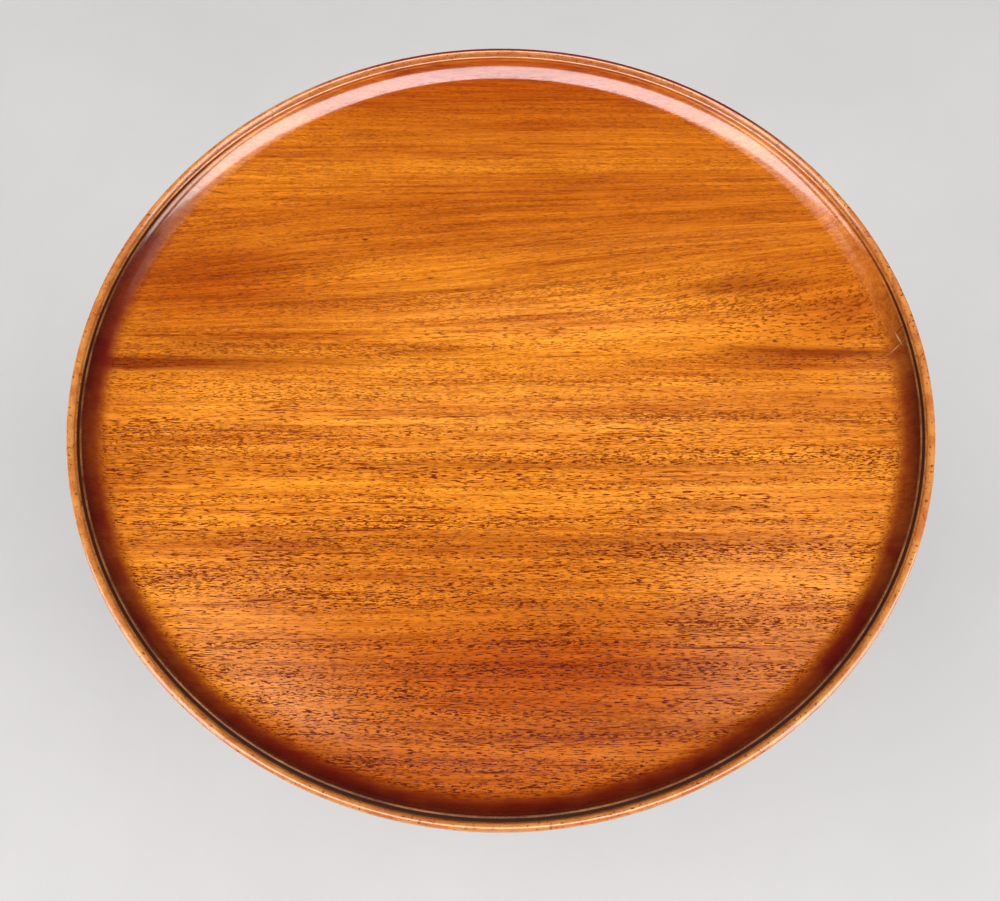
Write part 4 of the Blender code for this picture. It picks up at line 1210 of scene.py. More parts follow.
@dataclass
class TableTop:
    """The dished top, turned from one board."""

    radius: float = 0.29999
    height: float = 0.710
    thickness: float = 0.0245
    field: float = 0.011
    bead: float = 0.00256
    quirk_width: float = 0.0026
    lip_width: float = 0.0013
    lip_drop: float = 0.0048
    quirk_depth: float = 0.0006
    quirk_bottom: float = 0.35
    cove_width: float = 0.0145
    band: float = 0.0035
    undercut: float = 0.015
    cove_shares: Pairs = (
        (0.0, 0.0), (0.12, 0.03), (0.25, 0.11), (0.50, 0.32), (0.75, 0.60), (0.88, 0.78), (0.96, 0.92),
        (1.0, 1.0),
    )
    cove_steps: int = 4
    lip_round: float = 0.22
    quirk_half: float = 0.0004
    steps: int = 360

    def profile(self) -> Pairs:
        """Section of the top, from its field's middle over the rim to its underside's middle.

        Returns:
            Radius and height of each corner.
        """
        rim, thick = self.radius, self.thickness
        bead_r, bead_z = rim - self.bead, thick - self.bead
        quirk_outer = rim - 2 * self.bead
        lip_outer = quirk_outer - self.quirk_width
        lip_inner = lip_outer - self.lip_width
        lip_z = thick - self.lip_drop
        field_r = lip_inner - self.cove_width
        quirk_r = quirk_outer - self.quirk_width * self.quirk_bottom
        cove = [(field_r + self.cove_width * across, self.field + (lip_z - self.field) * max(0.0, up))
                for across, up in smooth_through(self.cove_shares, self.cove_steps)]
        bead = arc((bead_r, bead_z), self.bead, self.bead, 180, 0, 16)
        band_z = bead_z - self.band
        undercut = arc((rim - self.undercut, band_z), self.undercut, band_z, 0, -90, 10)
        round_in = self.lip_width * self.lip_round
        field = [(field_r * share, self.field) for share in (0, 0.25, 0.5, 0.72, 0.86, 0.95)]
        under = [((rim - self.undercut) * share, 0) for share in (0.9, 0.7, 0.45, 0.2, 0)]
        return [
            *field, *cove[:-1], (lip_inner, lip_z - round_in), (lip_inner + round_in, lip_z),
            (lip_outer - round_in, lip_z), (lip_outer, lip_z - round_in),
            (quirk_r - self.quirk_half, lip_z - self.quirk_depth * 0.9), (quirk_r, lip_z - self.quirk_depth),
            (quirk_r + self.quirk_half, lip_z - self.quirk_depth * 0.8), (quirk_outer, lip_z), *bead,
            (rim, bead_z - self.band * 0.5), *undercut, *under,
        ]

    def make(self) -> None:
        """Turns the top and dresses it."""
        under = self.height - self.thickness
        top = Bench.turn("dished_top", [(r, z + under) for r, z in self.profile()], self.steps)
        dress(top, TOP_POLISH, Body.TOP, "table_top", angle=30)


@dataclass(frozen=True)
class WoodScrew:
    """A countersunk wood screw with a filed slot and a cut thread.

    The rim is a share of the head's radius. Where the thread and the point start and where the
    thread ends are shares of the length. Taper, pitch and root are shares of the shank's radius.
    """

    head_radius: float
    shank_radius: float
    slot_width: float
    slot_depth: float
    length: float
    slot_rise: float = 0.002
    rim: float = 0.10
    thread_start: float = 0.34
    thread_end: float = 0.97
    point_start: float = 0.70
    taper: float = 0.62
    pitch: float = 0.62
    root: float = 0.78
    steps: int = 24

    def pattern(self) -> Piece:
        """Turns the screw, point up with its head's face at zero, and saws its slot.

        Returns:
            The pattern.
        """
        head, shank, length = self.head_radius, self.shank_radius, self.length
        point, rim = length * self.point_start, head * self.rim
        level, pitch = length * self.thread_start, shank * self.pitch
        profile = [(0, 0), (head * 0.93, 0), (head, head * 0.05), (head, rim),
                   (shank, head - shank + rim), (shank, level)]
        while level + pitch < length * self.thread_end:
            past = max(0.0, (level - point) / (length - point))
            wide = shank * (1 - self.taper * past)
            profile += [(wide * self.root, level + pitch * 0.2), (wide * self.root, level + pitch * 0.55),
                        (wide, level + pitch * 0.9)]
            level += pitch
        profile += [(shank * 0.30, length * 0.985), (0, length)]
        screw = Bench.turn("wood_screw", profile, self.steps)
        reach = head * 1.2
        Bench.cut(screw, Bench.block("slot", (-reach, -self.slot_width / 2, -self.slot_rise),
                                     (reach, self.slot_width / 2, self.slot_depth)))
        Bench.tidy(screw)
        return screw

    def hole(self, bore: float) -> Piece:
        """The cutter of the screw's hole, point up with the countersink's mouth at zero.

        Args:
            bore: how far the head's width is carried below the mouth.

        Returns:
            The cutter.
        """
        head, shank = self.head_radius + CLEARANCE, self.shank_radius + CLEARANCE
        profile = [(0, -bore), (head, -bore), (head, CLEARANCE), (shank, head - shank + CLEARANCE),
                   (shank, self.length * self.point_start), (shank * 0.4, self.length + CLEARANCE),
                   (0, self.length + CLEARANCE)]
        return Bench.turn("screw_hole", profile, self.steps)

    @staticmethod
    def swing(way: Row) -> Matrix:
        """Turns a screw that points up to point another way."""
        return Vector(way).to_track_quat("Z", "X").to_matrix().to_4x4()

    def drill(self, piece: Piece, spots: Spots, swing: Matrix = Matrix.Identity(4),
              bore: float = OVERRUN) -> None:
        """Drills the screws' holes in a piece.

        Args:
            piece: the piece.
            spots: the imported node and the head's place of each screw.
            swing: turns the holes, which point up without it.
            bore: how far the head's width is carried below the mouth.
        """
        for _, place in spots:
            hole = self.hole(bore)
            hole.data.transform(Matrix.Translation(place) @ swing)
            Bench.cut(piece, hole)

    def drive(self, spots: Spots, way: Row, finish: Finish, body: Body) -> None:
        """Drives copies of the screw, each with its slot at its own angle.

        Args:
            spots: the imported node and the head's place of each screw.
            way: which way the screws point.
            finish: their finish.
            body: the body that they ride on.
        """
        pattern = self.pattern()
        for count, (node, place) in enumerate(spots):
            turn = Matrix.Rotation(0.5 + 2.4 * count, 4, "Z")
            screw = Bench.copy(pattern, f"{node}_turned", Matrix.Translation(place) @ self.swing(way) @ turn)
            dress(screw, finish, body, node)
        bpy.data.objects.remove(pattern)


LARGE = dict(head_radius=0.0042, shank_radius=0.0021, slot_width=0.0010, slot_depth=0.0011)
SMALL = dict(head_radius=0.0030, shank_radius=0.0014, slot_width=0.0007, slot_depth=0.0008)
BEARER_SCREW = WoodScrew(length=0.030, **LARGE)
SPIDER_SCREW = WoodScrew(length=0.022, **LARGE)
CATCH_SCREW = WoodScrew(length=0.009, **SMALL)
KEEPER_SCREW = WoodScrew(length=0.013, **SMALL)


@dataclass
class Column:
    """The turned column: tenon, cap, shaft, rings, vase and hub."""

    tenon: float = 0.019
    cap: float = 0.030
    cap_band: float = 0.006
    cap_cove: float = 0.018
    neck: float = 0.0175
    neck_ring: float = 0.0225
    neck_ring_height: float = 0.007
    shaft_foot: float = 0.0235
    vase_ring: float = 0.0305
    vase_ring_height: float = 0.010
    vase: float = 0.043
    vase_height: float = 0.165
    foot_ring: float = 0.0415
    foot_ring_height: float = 0.013
    fillet: float = 0.0022
    fillet_share: float = 0.43
    hub: float = 0.034
    hub_bevel: float = 0.002
    hub_bottom: float = 0.126
    hub_top: float = 0.222
    shoulder: float = BLOCK_TOP - 0.034 - CLEARANCE
    cap_ease: float = 0.0006
    ring_ease: float = 0.0003
    steps: int = 112
    vase_shares: Pairs = (
        (0.00, 0.46), (0.18, 0.51), (0.38, 0.69), (0.57, 0.93), (0.71, 1.00), (0.84, 0.90), (0.93, 0.70),
        (1.00, 0.60),
    )
    shaft_shares: Pairs = (
        (0.00, 0.00), (0.25, 0.20), (0.50, 0.52), (0.75, 0.85), (0.92, 1.00), (1.00, 0.82))

    def ring(self, base: float, crest: float, top: float, height: float) -> Pairs:
        """A bead between two fillets.

        Args:
            base: radius beside the ring.
            crest: the bead's greatest radius.
            top: the ring's top.
            height: its height.

        Returns:
            Its corners, downwards.
        """
        flat = base + (crest - base) * self.fillet_share
        bead = arc((flat, top - height / 2), crest - flat, height / 2 - self.fillet, 90, -90, 12)
        ease = self.ring_ease
        return [(base, top), (flat - ease, top), (flat, top - ease), *bead,
                (flat, top - height + ease), (flat - ease, top - height), (base, top - height)]

    def profile(self) -> Pairs:
        """Section of the column, downwards from the top of its tenon.

        Returns:
            Radius and height of each corner.
        """
        cap_bottom = self.shoulder - self.cap_band
        neck_top = cap_bottom - self.cap_cove
        hollow = self.cap - self.neck
        cove = arc((self.cap, neck_top), hollow, self.cap_cove, 90, 180, 12)
        shaft_top = neck_top - self.neck_ring_height
        ring_top = self.hub_top + self.foot_ring_height
        vase_top = ring_top + self.vase_height
        shaft_bottom = vase_top + self.vase_ring_height
        swell = self.shaft_foot - self.neck
        shaft = smooth_through([(self.neck + swell * wide, shaft_top - (shaft_top - shaft_bottom) * down)
                                for down, wide in self.shaft_shares], 4)
        vase = smooth_through([(self.vase * wide, vase_top - self.vase_height * down)
                               for down, wide in self.vase_shares], 6)
        soft = self.cap_ease
        return [
            (0, BLOCK_TOP), (self.tenon, BLOCK_TOP), (self.tenon, self.shoulder),
            (self.cap - soft, self.shoulder), (self.cap, self.shoulder - soft),
            (self.cap, cap_bottom + soft), (self.cap - soft, cap_bottom), *cove[1:],
            *self.ring(self.neck, self.neck_ring, neck_top, self.neck_ring_height), *shaft[1:],
            *self.ring(self.shaft_foot, self.vase_ring, shaft_bottom, self.vase_ring_height), *vase,
            *self.ring(self.hub, self.foot_ring, ring_top, self.foot_ring_height),
            (self.hub, self.hub_top - 0.001), (self.hub, 0.17), (self.hub, self.hub_bottom + self.hub_bevel),
            (self.hub - self.hub_bevel, self.hub_bottom), (0, self.hub_bottom),
        ]

    def make(self) -> None:
        """Turns the column, saws its kerf and chops its dovetail sockets."""
        column = Bench.turn("turned_column", self.profile(), self.steps)
        Bench.cut(column, Wedge().solid("kerf", CLEARANCE, OVERRUN))
        leg = Leg()
        for bearing in BEARINGS.values():
            socket = leg.dovetail("socket", CLEARANCE, leg.tongue_top + CLEARANCE, self.hub_bottom - OVERRUN)
            socket.data.transform(Matrix.Rotation(math.radians(bearing), 4, "Z"))
            Bench.cut(column, socket)
        SPIDER_SCREW.drill(column, [("hub", (0, 0, Spider.bottom))])
        dress(column, BASE_POLISH, Body.BASE, "column",
              grain=board((0, 0, 1), (1, 0, 0), (0.4, 0.9, 0.3)))


@dataclass
class Wedge:
    """The wedge driven into the tenon's kerf."""

    tenon: float = 0.019
    depth: float = 0.024
    head: float = 0.0045
    tip: float = 0.0015
    setback: float = 0.0012
    ease: float = 0.00025

    def solid(self, name: str, grown: float, rise: float) -> Piece:
        """The wedge's shape, grown all round.

        Args:
            name: its name.
            grown: how far it is grown.
            rise: how far its head is raised past the tenon's end.

        Returns:
            The shape.
        """
        half = math.sqrt(self.tenon ** 2 - (self.head / 2) ** 2) - self.setback + grown
        head, tip = self.head / 2 + grown, self.tip / 2 + grown
        bottom = BLOCK_TOP - self.depth - grown
        outline = [(-half, -head, BLOCK_TOP), (-half, -tip, bottom), (-half, tip, bottom),
                   (-half, head, BLOCK_TOP)]
        if rise:
            outline = [(-half, -head, BLOCK_TOP + rise), *outline, (-half, head, BLOCK_TOP + rise)]
        return Bench.saw(name, outline, (2 * half, 0, 0))

    def make(self) -> None:
        """Saws the wedge and eases its edges."""
        wedge = self.solid("driven_wedge", 0, 0)
        Bench.soften(wedge, self.ease, 1)
        dress(wedge, BARE_TIMBER, Body.BASE, "tenon_wedge",
              grain=board((0, 0, 1), (1, 0, 0), (1.4, 0.2, 0.6)))


@dataclass
class Leg:
    """A cabriole leg with a pad foot, dovetailed into the hub."""

    hub: float = 0.034
    hub_bottom: float = 0.126
    reach: float = 0.262
    depth: float = 0.086
    width: float = 0.035
    centre_z: float = 0.1675
    foot_radius: float = 0.026
    foot_height: float = 0.016
    foot_base: float = 0.0215
    tongue_depth: float = 0.011
    tongue_neck: float = 0.013
    tongue_tail: float = 0.018
    tongue_top: float = 0.204
    voxel: float = 0.0011
    squarest: float = 0.45
    square_span: float = 0.55
    bevel_least: float = 0.50
    bevel_gain: float = 0.48
    # Of each section: how far out it stands, how high, its depth, its width and how round it is.
    stations: tuple[tuple[float, ...], ...] = (
        (-0.070, 1.000, 1.000, 0.86, 0.45), (0.070, 1.006, 1.010, 0.92, 0.48),
        (0.200, 0.984, 0.955, 1.00, 0.55), (0.325, 0.914, 0.770, 1.00, 0.62),
        (0.443, 0.768, 0.595, 0.92, 0.70), (0.553, 0.592, 0.465, 0.81, 0.78),
        (0.658, 0.412, 0.380, 0.72, 0.86), (0.763, 0.256, 0.315, 0.65, 0.92),
        (0.860, 0.150, 0.270, 0.62, 0.96), (0.940, 0.075, 0.225, 0.68, 1.00),
        (1.010, 0.010, 0.120, 0.70, 1.00),
    )
    foot_shares: Pairs = (
        (0.00, 1.00), (0.48, 0.97), (0.76, 0.84), (0.93, 0.63), (1.00, 0.38))

    def dovetail(self, name: str, grown: float, top: float, bottom: float) -> Piece:
        """A dovetail along the hub, for a leg towards +X.

        Args:
            name: its name.
            grown: how far it is grown.
            top: its upper end.
            bottom: its lower end.

        Returns:
            The dovetail.
        """
        neck, tail = self.tongue_neck / 2 + grown, self.tongue_tail / 2 + grown
        inner, outer = self.hub - self.tongue_depth - grown, self.hub + OVERRUN
        outline = [(inner, -tail), (self.hub, -neck), (outer, -neck), (outer, neck), (self.hub, neck),
                   (inner, tail)]
        return Bench.saw(name, [(x, y, bottom) for x, y in outline], (0, 0, top - bottom))

    def ring(self, place: Vector, run: Vector, depth: float, width: float, square: float) -> Piece:
        """One rounded section of the leg, square to its run.

        Args:
            place: its centre.
            run: which way the leg runs there.
            depth: its size in the plane of the leg's curve.
            width: its size across.
            square: from 0.45, nearly square, to 1, round.

        Returns:
            The ring.
        """
        normal = Vector((-run.z, 0, run.x))
        turn = Matrix((Vector((0, 1, 0)), normal, Vector((0, 1, 0)).cross(normal))).transposed()
        Bench.clear()
        bpy.ops.mesh.primitive_plane_add(size=1, location=place, rotation=turn.to_euler())
        ring = bpy.context.object
        ring.scale = (width, depth, 1)
        Bench.name(ring, "section")
        Bench.edit(ring)
        share = self.bevel_least + self.bevel_gain * (square - self.squarest) / self.square_span
        bpy.ops.mesh.bevel(offset=share * min(width, depth) / 2, segments=7, profile=0.5, affect="VERTICES")
        bpy.ops.mesh.select_all(action="SELECT")
        bpy.ops.mesh.delete(type="ONLY_FACE")
        Bench.done()
        return ring

    def loft(self) -> Piece:
        """Bridges the leg's sections from inside the hub to inside the foot.

        Returns:
            The loft.
        """
        foot = self.foot_height / 2
        length, rise = self.reach - self.hub, self.centre_z - foot
        table = [(self.hub + length * far, foot + rise * high, self.depth * deep, self.width * wide, square)
                 for far, high, deep, wide, square in self.stations]
        rows = smooth_through(table, 4)
        places = [Vector((row[0], 0, row[1])) for row in rows]
        rings = []
        for index, row in enumerate(rows):
            run = (places[min(index + 1, len(rows) - 1)] - places[max(index - 1, 0)]).normalized()
            rings.append(self.ring(places[index], run, row[2], row[3], min(row[4], 1.0)))
        leg = Bench.join("cabriole_leg", rings)
        Bench.edit(leg, Kind.EDGE)
        bpy.ops.mesh.bridge_edge_loops()
        bpy.ops.mesh.select_all(action="DESELECT")
        for end, way in ((places[0], places[1] - places[0]), (places[-1], places[-2] - places[-1])):
            near = way.length * 0.4
            Bench.pick(leg, Kind.VERT, lambda vert: abs((vert.co - end).dot(way.normalized())) < near
                       and (vert.co - end).length < self.depth)
            bpy.ops.mesh.edge_face_add()
        Bench.done()
        Bench.tidy(leg)
        return leg

    def pad(self) -> Piece:
        """Turns the pad foot.

        Returns:
            The foot, in its place.
        """
        crown = smooth_through([(self.foot_radius * wide, self.foot_height * high)
                                for wide, high in self.foot_shares], 5)
        under = [(self.foot_base + 0.0008, 0.0005), (self.foot_base, 0.0), (0, 0)]
        pad = Bench.turn("pad_foot", [*crown, *under], 64)
        pad.data.transform(Matrix.Translation((self.reach, 0, 0)))
        return pad

    def pattern(self) -> Piece:
        """Carves one leg towards +X.

        Returns:
            The leg, with its pad blended in, its shoulder, dovetail, spider seat and screw hole.
        """
        leg = self.loft()
        Bench.cut(leg, self.pad(), operation="UNION")
        Bench.take(leg)
        leg.data.remesh_voxel_size = self.voxel
        bpy.ops.object.voxel_remesh()
        smooth = leg.modifiers.new("Scraped and sanded", "SMOOTH")
        smooth.factor, smooth.iterations = 0.5, 6
        bpy.ops.object.modifier_apply(modifier=smooth.name)
        Bench.cut(leg, Bench.rod("shoulder", (0, 0, 0.05), (0, 0, 0.30), self.hub + CLEARANCE, 112))
        Bench.cut(leg, self.dovetail("tongue", 0, self.tongue_top, self.hub_bottom), operation="UNION")
        half = Spider.arm_width / 2 + CLEARANCE
        Bench.cut(leg, Bench.block("seat", (0, -half, 0.10),
                                   (Spider.arm_reach + CLEARANCE, half, self.hub_bottom)))
        SPIDER_SCREW.drill(leg, [("arm", (Spider.screw_reach, 0, Spider.bottom))])
        return leg

    def make(self) -> None:
        """Carves one leg and copies it to its three bearings."""
        pattern = self.pattern()
        for count, (node, bearing) in enumerate(BEARINGS.items()):
            turn = Matrix.Rotation(math.radians(bearing), 4, "Z")
            leg = Bench.copy(pattern, f"{node}_carved", turn)
            grain = board((0.80, 0, -0.60), (0, 1, 0), (0.7 * count, 0.31 * count + 0.5, 0.2))
            dress(leg, BASE_POLISH, Body.BASE, node, grain=grain @ turn.inverted())
        bpy.data.objects.remove(pattern)


@dataclass
class Spider:
    """The three-armed iron plate under the hub."""

    top: float = Column.hub_bottom - CLEARANCE
    bottom: float = Column.hub_bottom - CLEARANCE - 0.003
    hub_radius: float = 0.024
    arm_reach: float = 0.080
    arm_width: float = 0.017
    screw_reach: float = 0.068
    ease: float = 0.0005

    def outline(self) -> Pairs:
        """Outline of the plate.

        Returns:
            Its corners.
        """
        half = self.arm_width / 2
        tip = arc((self.arm_reach - half, 0), half, half, -90, 90, 16)
        root = math.sqrt(self.hub_radius ** 2 - half ** 2)
        side = math.degrees(math.asin(half / self.hub_radius))
        hollow = arc((0, 0), self.hub_radius, self.hub_radius, side, 120 - side, 8)[1:-1]
        corners = []
        for bearing in BEARINGS.values():
            turn = Matrix.Rotation(math.radians(bearing), 2)
            arm = ((root, -half), *tip, (root, half), *hollow)
            corners += [tuple(turn @ Vector(point)) for point in arm]
        return corners

    def make(self) -> None:
        """Saws the plate out of sheet, eases it and drives its screws."""
        outline = [(x, y, self.bottom) for x, y in self.outline()]
        plate = Bench.saw("iron_spider", outline, (0, 0, self.top - self.bottom))
        Bench.soften(plate, self.ease)
        spots = [("spider_screw_hub", (0, 0, self.bottom))]
        for node, bearing in BEARINGS.items():
            a = math.radians(bearing)
            place = (self.screw_reach * math.cos(a), self.screw_reach * math.sin(a), self.bottom)
            spots.append((node.replace("leg_", "spider_screw_"), place))
        SPIDER_SCREW.drill(plate, spots)
        dress(plate, IRON, Body.BASE, "spider_plate")
        SPIDER_SCREW.drive(spots, UP, STEEL, Body.BASE)


@dataclass
class TiltBlock:
    """The block on the column's tenon, with its two pivots, and the keeper let into its rear."""

    half: float = 0.075
    thickness: float = 0.034
    chamfer: float = 0.005
    inset: float = 0.017
    pivot_radius: float = 0.007
    pivot_length: float = 0.0225
    mortise: float = 0.0193
    keeper_width: float = 0.044
    keeper_height: float = 0.018
    keeper_thickness: float = 0.002
    keeper_spacing: float = 0.031
    keeper_way: Point = (0, -1, 0)
    ease: float = 0.0009
    pivot_root: float = 0.01
    pivot_ease: float = 0.0008
    keeper_ease: float = 0.0003

    def keeper_spots(self) -> Spots:
        """Where the keeper's screws go.

        Returns:
            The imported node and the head's place of each.
        """
        level = BLOCK_TOP - self.keeper_height / 2
        return [(f"keeper_screw_{side}", (sign * self.keeper_spacing / 2, self.half, level))
                for side, sign in (("left", -1), ("right", 1))]

    def socket(self) -> Piece:
        """The cutter of the hole that the bolt's nose enters.

        Returns:
            The cutter.
        """
        catch = Catch()
        half = catch.bolt_width / 2 + CLEARANCE
        low = (-half, self.half - catch.grip - CLEARANCE, catch.bolt_bottom - CLEARANCE)
        return Bench.block("nose_socket", low, (half, self.half + OVERRUN, catch.bolt_top + CLEARANCE))

    def wood(self) -> None:
        """Saws the block, works its pivots and chops its mortise."""
        bottom, front = BLOCK_TOP - self.thickness, -self.half
        axis_y, axis_z = front + self.inset, BLOCK_TOP - self.inset
        rounding = arc((axis_y, axis_z), self.inset, self.inset, 180, 90, 20)
        outline = [(self.half, BLOCK_TOP), (self.half, bottom + self.chamfer),
                   (self.half - self.chamfer, bottom), (front + self.chamfer, bottom),
                   (front, bottom + self.chamfer), *rounding]
        block = Bench.saw("tilting_block", [(-self.half, y, z) for y, z in outline], (2 * self.half, 0, 0))
        Bench.soften(block, self.ease, angle=40)
        for side in (-1, 1):
            start, end = side * (self.half - self.pivot_root), side * (self.half + self.pivot_length)
            pivot = Bench.rod("pivot", (start, axis_y, axis_z), (end, axis_y, axis_z), self.pivot_radius)
            Bench.bevel(pivot, self.pivot_ease, 2,
                        lambda edge: all(abs(vert.co.x - end) < NEAR for vert in edge.verts))
            Bench.cut(block, pivot, operation="UNION")
        Bench.cut(block, Bench.rod("mortise", (0, 0, bottom - OVERRUN), (0, 0, BLOCK_TOP + OVERRUN),
                                   self.mortise, 96))
        half, back = self.keeper_width / 2 + CLEARANCE, self.half - self.keeper_thickness - CLEARANCE
        Bench.cut(block, Bench.block("keeper_seat", (-half, back, BLOCK_TOP - self.keeper_height - CLEARANCE),
                                     (half, self.half + OVERRUN, BLOCK_TOP + OVERRUN)))
        Bench.cut(block, self.socket())
        KEEPER_SCREW.drill(block, self.keeper_spots(), WoodScrew.swing(self.keeper_way))
        dress(block, BARE_TIMBER, Body.BASE, "tilt_block",
              grain=board((1, 0, 0), (0, 1, 0), (2.1, 0.3, 0.9)))

    def keeper(self) -> None:
        """Files the keeper plate and drives its screws."""
        half = self.keeper_width / 2
        low = (-half, self.half - self.keeper_thickness, BLOCK_TOP - self.keeper_height)
        plate = Bench.block("brass_keeper", low, (half, self.half, BLOCK_TOP))
        Bench.soften(plate, self.keeper_ease)
        Bench.cut(plate, self.socket())
        KEEPER_SCREW.drill(plate, self.keeper_spots(), WoodScrew.swing(self.keeper_way))
        dress(plate, BRASS, Body.BASE, "keeper_plate")
        KEEPER_SCREW.drive(self.keeper_spots(), self.keeper_way, BRASS, Body.BASE)

    def make(self) -> None:
        """Makes the block and its keeper."""
        self.wood()
        self.keeper()


@dataclass
class Bearers:
    """The two battens under the top, with the eyes that the pivots turn in."""

    inner: float = 0.0753
    width: float = 0.024
    depth: float = 0.034
    length: float = 0.480
    eye: float = 0.0073
    pivot_y: float = -0.058
    pivot_z: float = 0.6682
    screw_y: float = 0.165
    screw_z: float = UNDERSIDE + 0.008 - BEARER_SCREW.length
    ease: float = 0.0016
    shares: Pairs = (
        (0.40, 1.00), (0.52, 0.97), (0.64, 0.86), (0.76, 0.68), (0.87, 0.52), (0.95, 0.44), (0.99, 0.39),
        (1.00, 0.30),
    )

    def pattern(self) -> Piece:
        """Saws the right-hand bearer.

        Returns:
            The bearer with its eye and counterbores.
        """
        half = self.length / 2
        sweep = smooth_through([(half * along, BLOCK_TOP - self.depth * down)
                                for along, down in self.shares], 4)
        outline = [(half, BLOCK_TOP), *reversed(sweep), *[(-y, z) for y, z in sweep], (-half, BLOCK_TOP)]
        bearer = Bench.saw("bearer", [(self.inner, y, z) for y, z in outline], (self.width, 0, 0))
        Bench.soften(bearer, self.ease, 3, 40)
        outer = self.inner + self.width
        Bench.cut(bearer, Bench.rod("eye", (self.inner - OVERRUN, self.pivot_y, self.pivot_z),
                                    (outer + OVERRUN, self.pivot_y, self.pivot_z), self.eye))
        BEARER_SCREW.drill(bearer, self.spots("right", 1), bore=self.depth)
        return bearer

    def spots(self, side: str, sign: int) -> Spots:
        """Where one bearer's screws go.

        Args:
            side: left or right.
            sign: -1 or 1.

        Returns:
            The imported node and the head's place of each.
        """
        across = sign * (self.inner + self.width / 2)
        return [(f"bearer_screw_{side}_{name}", (across, step * self.screw_y, self.screw_z))
                for name, step in (("front", -1), ("middle", 0), ("rear", 1))]

    def make(self) -> None:
        """Makes both bearers and drives their screws."""
        pattern = self.pattern()
        for count, (side, sign) in enumerate((("left", -1), ("right", 1))):
            shift = 0 if sign > 0 else -2 * self.inner - self.width
            bearer = Bench.copy(pattern, f"bearer_{side}_sawn", Matrix.Translation((shift, 0, 0)))
            dress(bearer, BARE_TIMBER, Body.TOP, f"bearer_{side}",
                  grain=board((0, 1, 0), (1, 0, 0), (0.6 + count, 0.8, 0.2)))
            BEARER_SCREW.drive(self.spots(side, sign), UP, STEEL, Body.TOP)
        bpy.data.objects.remove(pattern)


